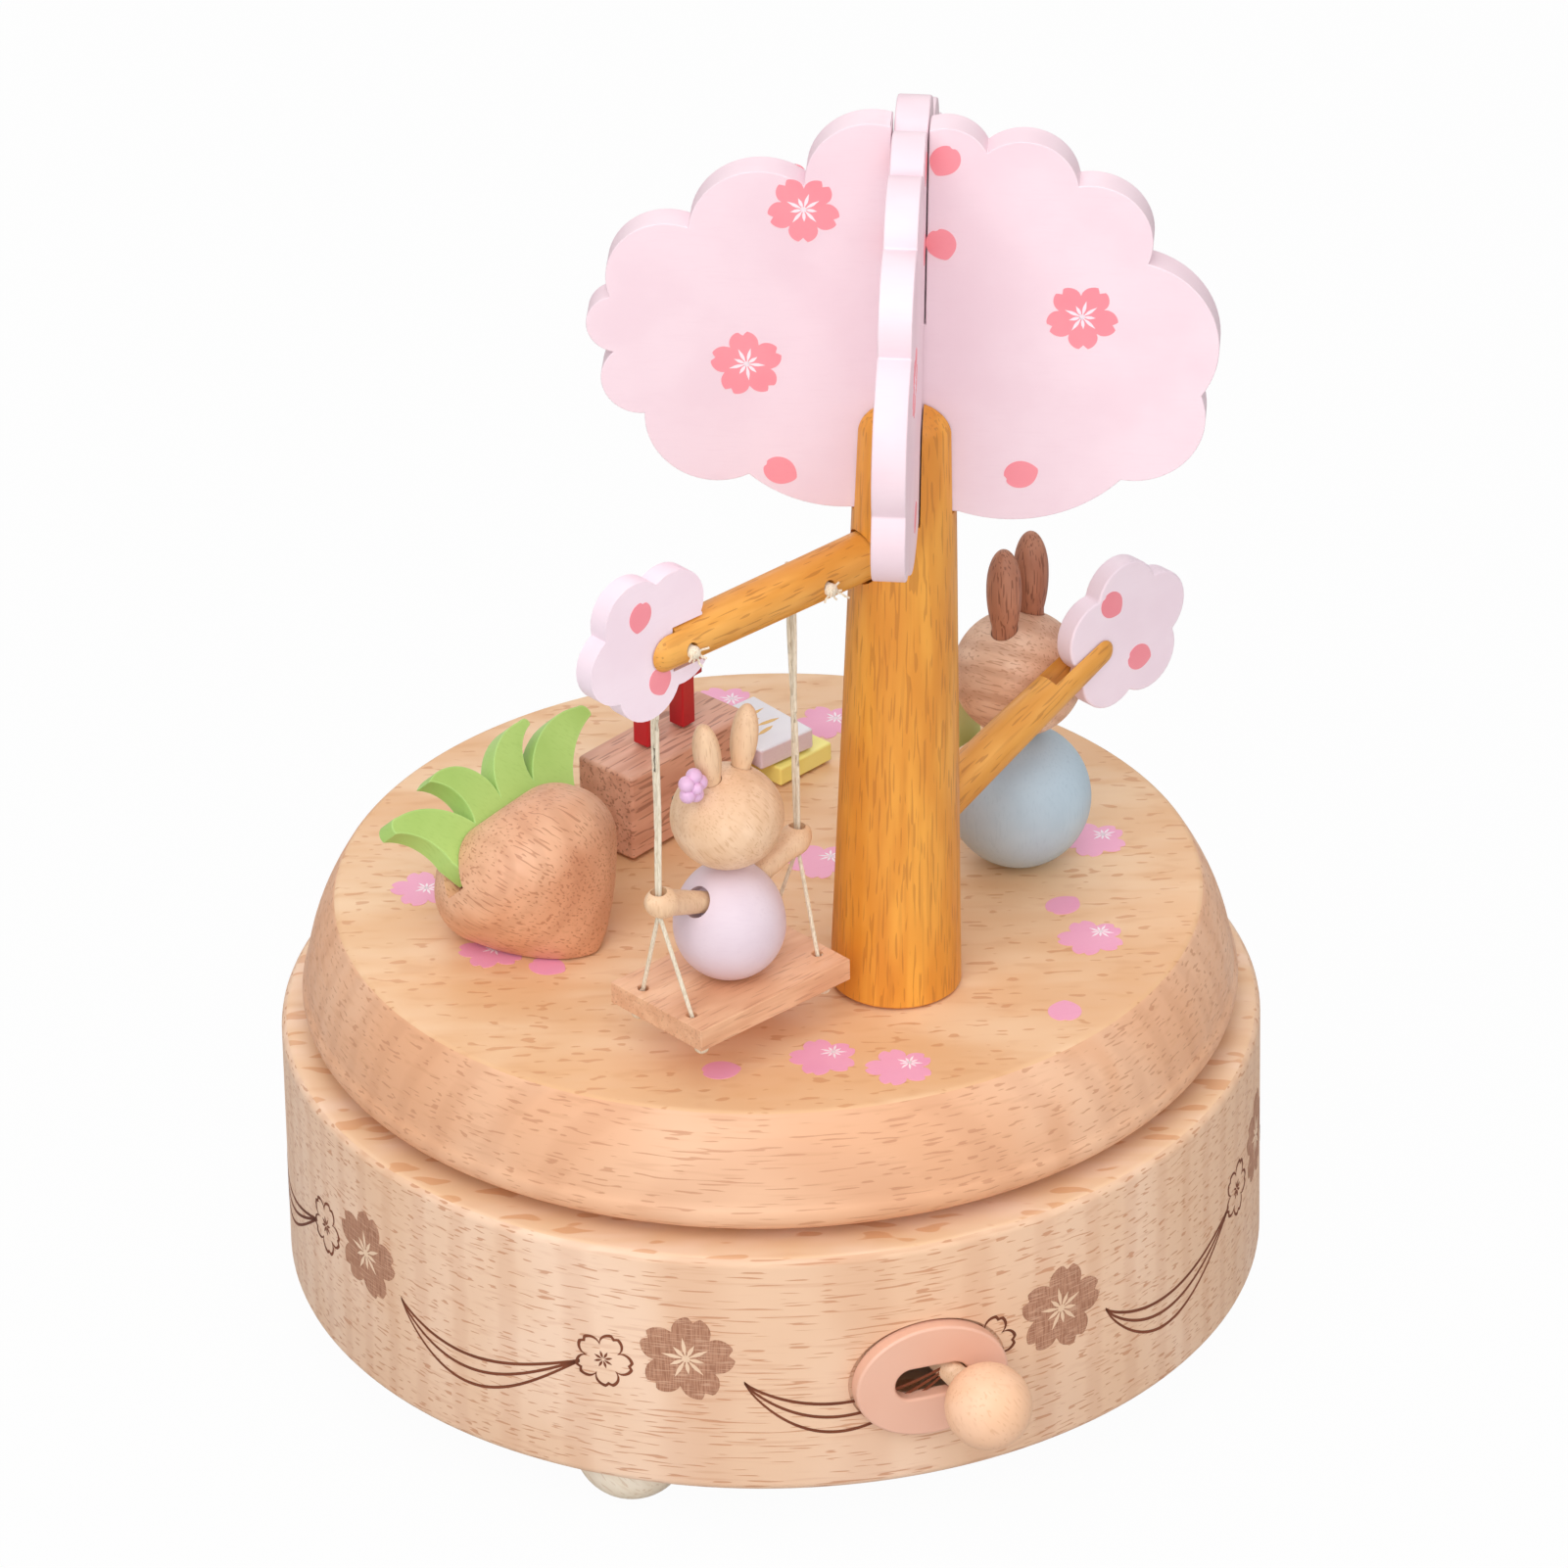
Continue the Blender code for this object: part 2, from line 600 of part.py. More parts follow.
def lever_group():
    """The slotted plate on the wall, the pivot pin, and the lever with its knob and brake arm."""
    plate = board("lever_escutcheon", oval(PLATE_WIDTH, PLATE_HEIGHT, 28), PLATE_THICKNESS, PINK_PLASTIC,
                  None, at(0.0, -(PLATE_BACK + PLATE_THICKNESS / 2.0), LEVER_HEIGHT) @ standing(0.0))
    slot = board("cut_plate_slot", stadium(SLOT_WIDTH, SLOT_HEIGHT, 6), 3.0 * PLATE_THICKNESS,
                 PINK_PLASTIC, None,
                 at(0.0, -(PLATE_BACK + PLATE_THICKNESS / 2.0), LEVER_HEIGHT) @ standing(0.0))
    cut(plate, slot)
    low = LEVER_HEIGHT - RECESS_BELOW - PIVOT_SEAT
    high = LEVER_HEIGHT + RECESS_ABOVE + PIVOT_SEAT
    rod("lever_pivot_pin", PIVOT_RADIUS, low, high, 12, STEEL, None, at(0.0, -LEVER_PIVOT, 0.0))

    arm_height = FLY_DISC_BASE + FLY_DISC_THICKNESS / 2.0 - LEVER_HEIGHT
    bore = PIVOT_RADIUS + RUNNING
    hub_base = arm_height - BRAKE_ARM_HEIGHT / 2.0
    hub_profile = [(bore, hub_base), (LEVER_HUB_RADIUS, hub_base), (LEVER_HUB_RADIUS, LEVER_HUB_ABOVE),
                   (bore, LEVER_HUB_ABOVE)]
    hub = turned("stop_lever", hub_profile, 16, STEEL, lever)
    middle = (bore + LEVER_HUB_RADIUS) / 2.0
    rod_end = LEVER_KNOB_REACH - LEVER_KNOB_RADIUS + LEVER_KNOB_BORE
    handle = rod("lever_rod_guide", LEVER_ROD_RADIUS, middle, rod_end, 12, PALE_WOOD, lever,
                 along((0.0, -1.0, 0.0)))
    spacing = LEVER_PIVOT - FLY_DISTANCE
    clearance = FLY_DISC_RADIUS + BRAKE_ARM_WIDTH / 2.0 + GAP
    lean = math.asin(clearance / spacing) + LEVER_TRAVEL - LEVER_REST
    arm_length = spacing * math.cos(math.asin(clearance / spacing)) + FLY_DISC_RADIUS / 3.0
    arm_place = turn(lean) @ at(0.0, (arm_length + middle) / 2.0, arm_height)
    arm = block("brake_arm_guide", (BRAKE_ARM_WIDTH, arm_length - middle, BRAKE_ARM_HEIGHT), STEEL,
                lever, arm_place)
    join(hub, handle, arm)
    knob = turned("lever_knob", egg(LEVER_KNOB_RADIUS, LEVER_KNOB_RADIUS + TINY, LEVER_KNOB_RADIUS,
                                    LEVER_KNOB_RADIUS, 8), 16, PALE_WOOD, lever,
                  at(0.0, -LEVER_KNOB_REACH, 0.0) @ along((0.0, -1.0, 0.0)))
    socket = rod("cut_knob_bore", LEVER_ROD_RADIUS + SLOT_GAP, 0.0, rod_end + GAP, 12, PALE_WOOD, lever,
                 along((0.0, -1.0, 0.0)))
    cut(knob, socket)


def movement_frame_pieces(drum):
    """The bedplate under the drum's top, with its brackets, the comb and the spring barrel."""
    bm = bmesh.new()
    bmesh.ops.create_circle(bm, cap_ends=True, segments=40, radius=BEDPLATE_RADIUS)
    for normal, reach in (((-1, 0, 0), BEDPLATE_REAR), ((0, 1, 0), BEDPLATE_SIDE),
                          ((0, -1, 0), BEDPLATE_SIDE)):
        bmesh.ops.bisect_plane(bm, geom=bm.verts[:] + bm.edges[:] + bm.faces[:], clear_outer=True,
                               plane_co=Vector(normal) * reach, plane_no=normal)
    extruded = bmesh.ops.extrude_face_region(bm, geom=bm.faces[:])["geom"]
    moved = [item for item in extruded if isinstance(item, bmesh.types.BMVert)]
    bmesh.ops.translate(bm, verts=moved, vec=(0.0, 0.0, BEDPLATE_THICKNESS))
    plate = add_piece("bedplate", bm, STEEL, movement, at(0.0, 0.0, PLATE_BASE))
    comb_top = AXLE_HEIGHT + COMB_THICKNESS / 2.0
    seat_middle = CYLINDER_START + CYLINDER_LENGTH / 2.0
    seat_height = PLATE_TOP - TINY * 200.0 - comb_top - GAP
    seat = block("comb_seat_guide", (CYLINDER_LENGTH, COMB_SEAT_DEPTH, seat_height), STEEL, movement,
                 at(seat_middle, COMB_SEAT_DEPTH / 2.0 - COMB_BACK, comb_top + GAP + seat_height / 2.0))
    join(plate, seat)
    shaft_hole = rod("cut_bedplate_shaft", SHAFT_RADIUS + RUNNING, 0.0, DRUM_HEIGHT, 20, STEEL, movement)
    fly_hole = rod("cut_bedplate_fly", FLY_SHAFT_RADIUS + RUNNING, PLATE_BASE - 0.001, DRUM_HEIGHT, 12,
                   STEEL, movement, at(WHEEL_REACH, FLY_SIDE, 0.0))
    cut(plate, shaft_hole, fly_hole)
    for number, (x, y) in enumerate(((-0.0150, -0.0120), (0.0215, 0.0218)), 1):
        spot = at(x, y, HANG)
        screw("movement_screw_%d" % number, movement, spot)
        hole = screw_hole("hole_movement_%d" % number, movement, spot)
        cut(plate, hole)
        cut(drum, hole)
    music_comb(plate)
    brackets()
    spring_barrel()


def music_comb(plate):
    """A steel comb: one tooth for each track, long for low notes and short for high ones."""
    tip = -(CYLINDER_RADIUS + CYLINDER_PIN + GAP)
    outline = [(CYLINDER_START, -COMB_BACK)]
    outline.append((CYLINDER_START + CYLINDER_LENGTH, -COMB_BACK))
    for note in reversed(range(NOTES)):
        middle = CYLINDER_START + TRACK * (note + 0.5)
        root = tip - COMB_LONG + (COMB_LONG - COMB_SHORT) * note / NOTES
        after = middle + COMB_TOOTH / 2.0
        before = middle - COMB_TOOTH / 2.0
        outline += [(after, root), (after, tip), (before, tip), (before, root)]
    comb = board("music_comb", outline, COMB_THICKNESS, STEEL, movement, at(0.0, 0.0, AXLE_HEIGHT))
    for number, share in enumerate((0.22, 0.78), 1):
        spot = at(CYLINDER_START + CYLINDER_LENGTH * share, COMB_SEAT_DEPTH / 2.0 - COMB_BACK,
                  AXLE_HEIGHT - COMB_THICKNESS / 2.0 - GAP)
        screw("comb_screw_%d" % number, movement, spot)
        hole = screw_hole("hole_comb_%d" % number, movement, spot)
        cut(comb, hole)
        cut(plate, hole)


def brackets():
    """Sheet brackets that hang from the bedplate and carry the cylinder and the governor."""
    low = AXLE_HEIGHT - BRACKET_BELOW
    tail = GOVERNOR_SIDE + BRACKET_SIDE / 2.0
    outer_outline = [(-BRACKET_SIDE, low), (tail, low), (tail, HANG), (-BRACKET_SIDE, HANG)]
    across = Matrix(((0, 0, 1, 0), (1, 0, 0, 0), (0, 1, 0, 0), (0, 0, 0, 1)))
    outer = board("cylinder_bracket", outer_outline, BRACKET_THICKNESS, BRASS, movement,
                  at(OUTER_BRACKET + BRACKET_THICKNESS / 2.0, 0.0, 0.0) @ across)
    far = FLY_SIDE + BRACKET_SIDE
    near = FLY_SIDE - BRACKET_SIDE / 2.0
    floor = FLY_BOTTOM - FOOT_PLATE / 3.0
    inner_outline = [(-BRACKET_SIDE, low), (near, low), (near, floor), (far, floor), (far, HANG),
                     (-BRACKET_SIDE, HANG)]
    inner = board("governor_bracket", inner_outline, BRACKET_THICKNESS, BRASS, movement,
                  at(INNER_BRACKET + BRACKET_THICKNESS / 2.0, 0.0, 0.0) @ across)
    root = INNER_BRACKET + BRACKET_THICKNESS / 2.0
    foot_length = WHEEL_REACH + BRACKET_SIDE / 2.0 - root
    foot = block("governor_foot_guide", (foot_length, 0.8 * BRACKET_SIDE, FOOT_PLATE), BRASS, movement,
                 at(root + foot_length / 2.0, FLY_SIDE, FLY_BOTTOM + FOOT_PLATE / 2.0))
    join(inner, foot)
    cylinder_hole = rod("cut_cylinder_bearing", ARBOR_RADIUS + RUNNING, 0.0, ARBOR_END + 0.002, 16, BRASS,
                        movement, at(0.0, 0.0, AXLE_HEIGHT) @ along((1.0, 0.0, 0.0)))
    governor_hole = rod("cut_governor_bearing", GOVERNOR_ARBOR_RADIUS + RUNNING, 0.0, ARBOR_END + 0.002,
                        16, BRASS, movement,
                        at(0.0, GOVERNOR_SIDE, AXLE_HEIGHT) @ along((1.0, 0.0, 0.0)))
    fly_hole = rod("cut_fly_bearing", FLY_SHAFT_RADIUS + RUNNING, 0.0, AXLE_HEIGHT / 2.0, 12, BRASS,
                   movement, at(WHEEL_REACH, FLY_SIDE, 0.0))
    cut(outer, cylinder_hole, governor_hole)
    cut(inner, cylinder_hole, governor_hole, fly_hole)


def spring_barrel():
    """The fixed spring barrel on three pillars, with the mainspring coiled in it."""
    inside = BARREL_RADIUS - BARREL_WALL
    floor = BARREL_BASE + BARREL_WALL
    profile = [(0.0, BARREL_BASE), (BARREL_RADIUS, BARREL_BASE), (BARREL_RADIUS, BARREL_TOP),
               (inside, BARREL_TOP), (inside, floor), (0.0, floor)]
    barrel = turned("spring_barrel", profile, 24, BRASS, movement)
    for number, side in enumerate((100.0, 180.0, -100.0), 1):
        spot = turn(math.radians(side)) @ at(PILLAR_CIRCLE, 0.0, 0.0)
        pillar = rod("pillar_guide_%d" % number, PILLAR_RADIUS, BARREL_BASE, HANG, 10, BRASS, movement, spot)
        reach = PILLAR_CIRCLE - BARREL_RADIUS + BARREL_WALL / 2.0
        lug = block("lug_guide_%d" % number, (reach, 2.0 * PILLAR_RADIUS, BARREL_WALL), BRASS, movement,
                    spot @ at(-reach / 2.0, 0.0, BARREL_BASE + BARREL_WALL * 1.5))
        join(barrel, pillar, lug)

    first = SHAFT_RADIUS + RUNNING + SPRING_STRIP / 2.0
    last = inside - GAP - SPRING_STRIP / 2.0
    low = floor + GAP
    high = BARREL_TOP - GAP
    steps = SPRING_TURNS * 12
    rings = []
    for step in range(steps + 1):
        share = step / steps
        angle = 2.0 * math.pi * SPRING_TURNS * share
        radius = first + (last - first) * share
        ring = []
        for side, height in ((-0.5, low), (0.5, low), (0.5, high), (-0.5, high)):
            reach = radius + side * SPRING_STRIP
            ring.append((reach * math.cos(angle), reach * math.sin(angle), height))
        rings.append(ring)
    loft("mainspring", rings, STEEL, movement)


def crown_wheel():
    """The face gear on the turntable's shaft: its teeth point down into the cylinder's pinion."""
    inner = CROWN_RADIUS - CROWN_FACE / 2.0
    outer = CROWN_RADIUS + CROWN_FACE / 2.0
    face = AXLE_HEIGHT + PINION_RADIUS + 0.6 * CROWN_TOOTH
    bm = bmesh.new()
    corners = [(0.0, face), (inner, face), (outer, face), (outer, face + CROWN_DISC),
               (0.0, face + CROWN_DISC)]
    verts = [bm.verts.new((radius, 0.0, height)) for radius, height in corners]
    edges = [bm.edges.new(pair) for pair in zip(verts, verts[1:])]
    bmesh.ops.spin(bm, geom=verts + edges, cent=(0, 0, 0), axis=(0, 0, 1), dvec=(0, 0, 0),
                   angle=2.0 * math.pi, steps=2 * CROWN_TEETH, use_merge=True)
    bmesh.ops.remove_doubles(bm, verts=bm.verts, dist=TINY)
    bmesh.ops.recalc_face_normals(bm, faces=bm.faces)
    half = math.pi / CROWN_TEETH
    roots = []
    for flat in bm.faces:
        centre = flat.calc_center_median()
        reach = math.hypot(centre.x, centre.y)
        sector = int((math.atan2(centre.y, centre.x) % (2.0 * math.pi)) / half)
        if flat.normal.z < -0.9 and inner < reach < outer and sector % 2 == 0:
            roots.append(flat)
    tips = bmesh.ops.extrude_discrete_faces(bm, faces=roots)["faces"]
    for tip in tips:
        centre = tip.calc_center_median()
        tangent = Vector((-centre.y, centre.x, 0.0)).normalized()
        for vert in tip.verts:
            vert.co -= 0.5 * tangent * tangent.dot(vert.co - centre)
            vert.co.z -= CROWN_TOOTH
    phase = MOVEMENT_ANGLE - REST_ANGLE - half / 2.0
    wheel = add_piece("crown_wheel", bm, BRASS, turntable, turn(phase))
    bore = rod("cut_crown_bore", SHAFT_RADIUS + GAP, face - 0.001, face + CROWN_DISC + 0.001, 16, BRASS,
               turntable)
    cut(wheel, bore)


def cylinder_group():
    """The pinned cylinder on its arbor, between the crown wheel's pinion and the train gear."""
    axis = pivot("cylinder_axis", at(0.0, 0.0, AXLE_HEIGHT) @ along((1.0, 0.0, 0.0)), movement)
    arbor = rod("cylinder_arbor", ARBOR_RADIUS, ARBOR_START, ARBOR_END, 10, STEEL, axis)
    small = gear("pinion_guide", gear_outline(PINION_TEETH, PINION_MODULE, 0.00045, 0.00070),
                 CROWN_RADIUS - PINION_WIDTH / 2.0, CROWN_RADIUS + PINION_WIDTH / 2.0, 0.0, BRASS, axis)
    large = gear("train_gear_guide", gear_outline(CYLINDER_GEAR_TEETH, TRAIN_MODULE, 0.00040, 0.00055),
                 GEAR_START, GEAR_START + GEAR_WIDTH, 0.0, BRASS, axis)
    join(arbor, small, large)

    bm = bmesh.new()
    bore = ARBOR_RADIUS + GAP
    heights = [CYLINDER_START + TRACK * step for step in range(NOTES + 1)]
    corners = [(bore, heights[0])] + [(CYLINDER_RADIUS, height) for height in heights]
    corners += [(bore, heights[-1])]
    verts = [bm.verts.new((radius, 0.0, height)) for radius, height in corners]
    edges = [bm.edges.new((verts[i], verts[(i + 1) % len(verts)])) for i in range(len(verts))]
    sides = 12
    bmesh.ops.spin(bm, geom=verts + edges, cent=(0, 0, 0), axis=(0, 0, 1), dvec=(0, 0, 0),
                   angle=2.0 * math.pi, steps=sides, use_merge=True)
    bmesh.ops.remove_doubles(bm, verts=bm.verts, dist=TINY)
    bmesh.ops.recalc_face_normals(bm, faces=bm.faces)
    chosen = []
    for flat in bm.faces:
        centre = flat.calc_center_median()
        if math.hypot(centre.x, centre.y) < 0.9 * CYLINDER_RADIUS:
            continue
        band = int((centre.z - CYLINDER_START) / TRACK)
        sector = int((math.atan2(centre.y, centre.x) % (2.0 * math.pi)) / (2.0 * math.pi / sides))
        if (7 * sector + 3 * band) % 11 == 0:
            chosen.append(flat)
    bmesh.ops.inset_individual(bm, faces=chosen, thickness=CYLINDER_PIN * 0.7)
    for flat in chosen:
        centre = flat.calc_center_median()
        tangent = Vector((-centre.y, centre.x, 0.0)).normalized()
        for vert in flat.verts:
            vert.co -= 0.6 * tangent * tangent.dot(vert.co - centre)
    tips = bmesh.ops.extrude_discrete_faces(bm, faces=chosen)["faces"]
    for tip in tips:
        centre = tip.calc_center_median()
        outward = Vector((centre.x, centre.y, 0.0)).normalized()
        bmesh.ops.translate(bm, verts=tip.verts, vec=outward * CYLINDER_PIN)
    add_piece("music_cylinder", bm, BRASS, axis)


def governor_group():
    """The governor wheel on its arbor, and the upright fly with its worm, wings and brake disc."""
    axis = pivot("governor_axis", at(0.0, GOVERNOR_SIDE, AXLE_HEIGHT) @ along((1.0, 0.0, 0.0)), movement)
    phase = turn(math.pi / GOVERNOR_PINION_TEETH)
    arbor = rod("governor_wheel", GOVERNOR_ARBOR_RADIUS, INNER_BRACKET, ARBOR_END, 10, STEEL, axis)
    small = gear("governor_pinion_guide",
                 gear_outline(GOVERNOR_PINION_TEETH, TRAIN_MODULE, 0.00040, 0.00055),
                 GEAR_START, GEAR_START + GEAR_WIDTH, 0.0, BRASS, axis, phase)
    twist = WHEEL_WIDTH * WORM_LEAD / (2.0 * math.pi * WORM_RADIUS) / WHEEL_RADIUS
    wheel = gear("worm_wheel_guide", gear_outline(WHEEL_TEETH, TRAIN_MODULE, 0.00038, 0.00055, 0.56, 0.18),
                 WHEEL_REACH - WHEEL_WIDTH / 2.0, WHEEL_REACH + WHEEL_WIDTH / 2.0, twist, BRASS, axis)
    join(arbor, small, wheel)

    fly = pivot("fly_axis", at(WHEEL_REACH, FLY_SIDE, 0.0), movement)
    shaft = rod("governor_fly", FLY_SHAFT_RADIUS, FLY_BOTTOM, PLATE_TOP - 0.0008, 10, STEEL, fly)
    sides, layers = 10, 16
    rings = []
    for layer in range(layers + 1):
        share = layer / layers - 0.5
        lift = 2.0 * math.pi * WORM_LENGTH * share / WORM_LEAD
        ring = []
        for side in range(sides):
            angle = 2.0 * math.pi * side / sides
            crest = (0.5 + 0.5 * math.cos(WORM_STARTS * angle)) ** 2.0
            reach = WORM_RADIUS - 0.00052 + (0.00052 + WORM_TOOTH) * crest
            ring.append((reach * math.cos(angle + lift), reach * math.sin(angle + lift),
                         AXLE_HEIGHT + WORM_LENGTH * share))
        rings.append(ring)
    worm = loft("worm_guide", rings, STEEL, fly)
    wings = block("fly_wing_guide", (FLY_WING_SPAN, FLY_WING_THICKNESS, FLY_WING_HEIGHT), STEEL, fly,
                  at(0.0, 0.0, FLY_WING_BASE + FLY_WING_HEIGHT / 2.0))
    disc = rod("brake_disc_guide", FLY_DISC_RADIUS, FLY_DISC_BASE, FLY_DISC_BASE + FLY_DISC_THICKNESS, 16,
               STEEL, fly)
    join(shaft, worm, wings, disc)


def turntable_disc():
    """The turned disc with its slanted flank, its hub let into the underside, and the shaft."""
    recess = HUB_RADIUS + GAP
    recess_top = TABLE_BASE + HUB_FLANGE + 2.0 * GAP
    bore = HUB_BOSS_RADIUS + GAP
    bore_top = TABLE_BASE + HUB_HEIGHT + 3.0 * GAP
    lip = TABLE_BASE + TABLE_LIP
    profile = [(0.0, TABLE_BASE), (TABLE_RADIUS - TABLE_LIP / 2.0, TABLE_BASE)]
    profile += bow(profile[-1], (TABLE_RADIUS, lip), 0.35 * TABLE_LIP, 3)
    shoulder = (TABLE_TOP_RADIUS + TABLE_ROUND / 3.0, DECK - TABLE_ROUND)
    profile += bow((TABLE_RADIUS, lip), shoulder, 0.0006, 2)
    profile += bow(shoulder, (TABLE_TOP_RADIUS - TABLE_ROUND, DECK), 0.25 * TABLE_ROUND, 2)
    profile += [(0.0, DECK)]
    disc = turned("turntable_disc", profile, 44, BEECH, turntable)
    sink = [(0.0, TABLE_BASE - 0.001), (recess, TABLE_BASE - 0.001), (recess, recess_top),
            (bore, recess_top), (bore, bore_top), (0.0, bore_top)]
    cut(disc, turned("cut_hub_seat", sink, 20, BEECH, turntable))

    base = TABLE_BASE + GAP
    inner = SHAFT_RADIUS + GAP
    hub = [(inner, base), (HUB_RADIUS, base), (HUB_RADIUS, base + HUB_FLANGE),
           (HUB_BOSS_RADIUS, base + HUB_FLANGE), (HUB_BOSS_RADIUS, base + HUB_HEIGHT),
           (inner, base + HUB_HEIGHT)]
    turned("turntable_hub", hub, 20, BRASS, turntable)
    rod("main_shaft", SHAFT_RADIUS, BARREL_BASE + BARREL_WALL + GAP, base + HUB_HEIGHT, 20, STEEL, turntable)


def canopy_outline():
    """The cloud-shaped board, about the middle of its base, in millimetres where it reaches 34.7 mm."""
    arcs = [(6.5, 0.0, 0.0), (25.4, 5.1, 2.8), (34.5, 16.6, 4.2), (28.5, 33.4, 4.8), (20.2, 42.2, 3.8),
            (9.3, 46.0, 3.4), (-11.7, 43.2, 5.6), (-25.4, 35.7, 3.8), (-34.7, 26.4, 4.2),
            (-34.2, 19.2, 3.0), (-30.5, 11.3, 3.2), (-18.2, 3.8, 4.2), (-6.5, 0.0, 1.2)]
    return scalloped((-6.5, 0.0), arcs, 4, CANOPY_REACH / 34.7)


def tree():
    """The trunk with its cross slot, the two boards of the canopy, and two branches with blossoms."""
    trunk_top = TRUNK_HEIGHT
    crown = 0.8 * TRUNK_TOP_RADIUS
    profile = [(0.0, GAP), (TRUNK_BASE_RADIUS, GAP), (TRUNK_TOP_RADIUS, trunk_top - crown)]
    for step in range(1, 5):
        angle = math.pi / 2.0 * step / 5.0
        profile.append((TRUNK_TOP_RADIUS * math.cos(angle), trunk_top - crown + crown * math.sin(angle)))
    profile.append((0.0, trunk_top))
    root = at(TREE_PLACE.x, TREE_PLACE.y, DECK)
    leaning = root @ Matrix.Rotation(TREE_LEAN, 4, 'Y')
    trunk = turned("tree_trunk", profile, 22, STAINED_WOOD, turntable, leaning)
    slot_low = CANOPY_BASE - GAP
    slot_size = (4.0 * TRUNK_TOP_RADIUS, CANOPY_THICKNESS + 2.0 * SLOT_GAP, TRUNK_HEIGHT - slot_low + 0.002)
    for number, angle in enumerate((CANOPY_ANGLE, CANOPY_ANGLE + math.pi / 2.0), 1):
        slot = block("cut_canopy_slot_%d" % number, slot_size, STAINED_WOOD, turntable,
                     leaning @ at(0.0, 0.0, slot_low + slot_size[2] / 2.0) @ turn(angle))
        cut(trunk, slot)

    lap = CANOPY_THICKNESS + 2.0 * SLOT_GAP
    above = CANOPY_BASE + 2.0 * CANOPY_REACH
    for name, angle, low, high in (
            ("canopy_board_across", CANOPY_ANGLE, 0.0, CANOPY_MIDDLE + GAP / 2.0),
            ("canopy_board_along", CANOPY_ANGLE - math.pi / 2.0, CANOPY_MIDDLE - GAP / 2.0, above)):
        piece = board(name, canopy_outline(), CANOPY_THICKNESS, PINK_BOARD, turntable,
                      leaning @ standing(angle) @ at(0.0, CANOPY_BASE, 0.0))
        notch = block("cut_lap_" + name, (lap, high - low, 2.0 * CANOPY_THICKNESS), PINK_BOARD, turntable,
                      leaning @ standing(angle) @ at(0.0, (high + low) / 2.0, 0.0))
        cut(piece, notch)
    left_branch(trunk, root)
    right_branch(trunk, root)


def branch(side, root, start, reach, tip_radius, direction, blossom_spot, blossom_radius, first_angle, slot):
    """A tapered branch in a hole of the trunk, with a blossom board in a slot at its tip."""
    way = Vector(direction).normalized()
    level = math.atan2(way.y, way.x)
    rise = math.asin(way.z)
    place = root @ Matrix.Translation(start) @ turn(level) @ Matrix.Rotation(math.pi / 2.0 - rise, 4, 'Y')
    profile = [(0.0, BRANCH_DEPTH), (BRANCH_ROOT_RADIUS, BRANCH_DEPTH),
               (tip_radius, reach - tip_radius)]
    for step in range(1, 4):
        angle = math.pi / 2.0 * step / 4.0
        profile.append((tip_radius * math.cos(angle), reach - tip_radius + tip_radius * math.sin(angle)))
    profile.append((0.0, reach))
    piece = turned("branch_" + side, profile, 18, STAINED_WOOD, turntable, place)
    socket = rod("cut_branch_hole_" + side, BRANCH_ROOT_RADIUS + GAP, BRANCH_DEPTH - GAP,
                 TRUNK_BASE_RADIUS * 2.0, 16, STAINED_WOOD, turntable, place)
    slot_size = (4.0 * tip_radius, BLOSSOM_THICKNESS + 2.0 * SLOT_GAP, slot + 0.004)
    groove = block("cut_blossom_slot_" + side, slot_size, STAINED_WOOD, turntable,
                   place @ at(0.0, 0.0, reach - slot + slot_size[2] / 2.0))
    cut(piece, groove)
    upright = root @ Matrix.Translation(start) @ standing(level)
    petals = blossom(blossom_radius, first_angle)
    flower = board("blossom_board_" + side, petals, BLOSSOM_THICKNESS, PINK_BOARD, turntable,
                   upright @ at(blossom_spot[0], blossom_spot[1], 0.0))
    relief = block("cut_blossom_relief_" + side,
                   (2.0 * (BRANCH_ROOT_RADIUS + GAP), 2.0 * BLOSSOM_THICKNESS, reach),
                   PINK_BOARD, turntable, place @ at(0.0, 0.0, reach / 2.0 - slot + GAP))
    cut(flower, relief)
    return piece, flower, socket


def left_branch(trunk, root):
    piece, flower, socket = branch(
        "left", root, (0.0, 0.0, LEFT_BRANCH_HEIGHT), LEFT_BRANCH_REACH, LEFT_BRANCH_TIP_RADIUS,
        (BRANCH_OUT.x, BRANCH_OUT.y, 0.0), (LEFT_BLOSSOM_REACH, LEFT_BLOSSOM_LIFT), LEFT_BLOSSOM_RADIUS,
        math.radians(50.0), LEFT_BLOSSOM_SLOT)
    cut(trunk, socket)
    level = math.atan2(BRANCH_OUT.y, BRANCH_OUT.x)
    for number, reach in enumerate((STRING_OUTER_REACH, STRING_INNER_REACH), 1):
        spot = root @ at(0.0, 0.0, LEFT_BRANCH_HEIGHT) @ turn(level) @ at(reach, 0.0, 0.0)
        hole = rod("cut_string_hole_%d" % number, PEG_RADIUS + GAP, -0.01, 0.01, 8, STAINED_WOOD,
                   turntable, spot @ along((0.0, 1.0, 0.0)))
        cut(piece, hole)
        back_end = STRING_OFFSET - STRING_RADIUS - GAP
        share = reach / LEFT_BRANCH_REACH
        radius = BRANCH_ROOT_RADIUS + (LEFT_BRANCH_TIP_RADIUS - BRANCH_ROOT_RADIUS) * share
        front = radius + GAP + KNOT_RADIUS
        peg = rod("swing_anchor_%d" % number, PEG_RADIUS, -back_end, front, 8, COTTON, turntable,
                  spot @ along((0.0, 1.0, 0.0)))
        knot = turned("knot_guide_%d" % number, egg(KNOT_RADIUS, KNOT_RADIUS + TINY, KNOT_RADIUS,
                                                    KNOT_RADIUS, 5), 8, COTTON, turntable,
                      spot @ at(0.0, front, 0.0))
        join(peg, knot)


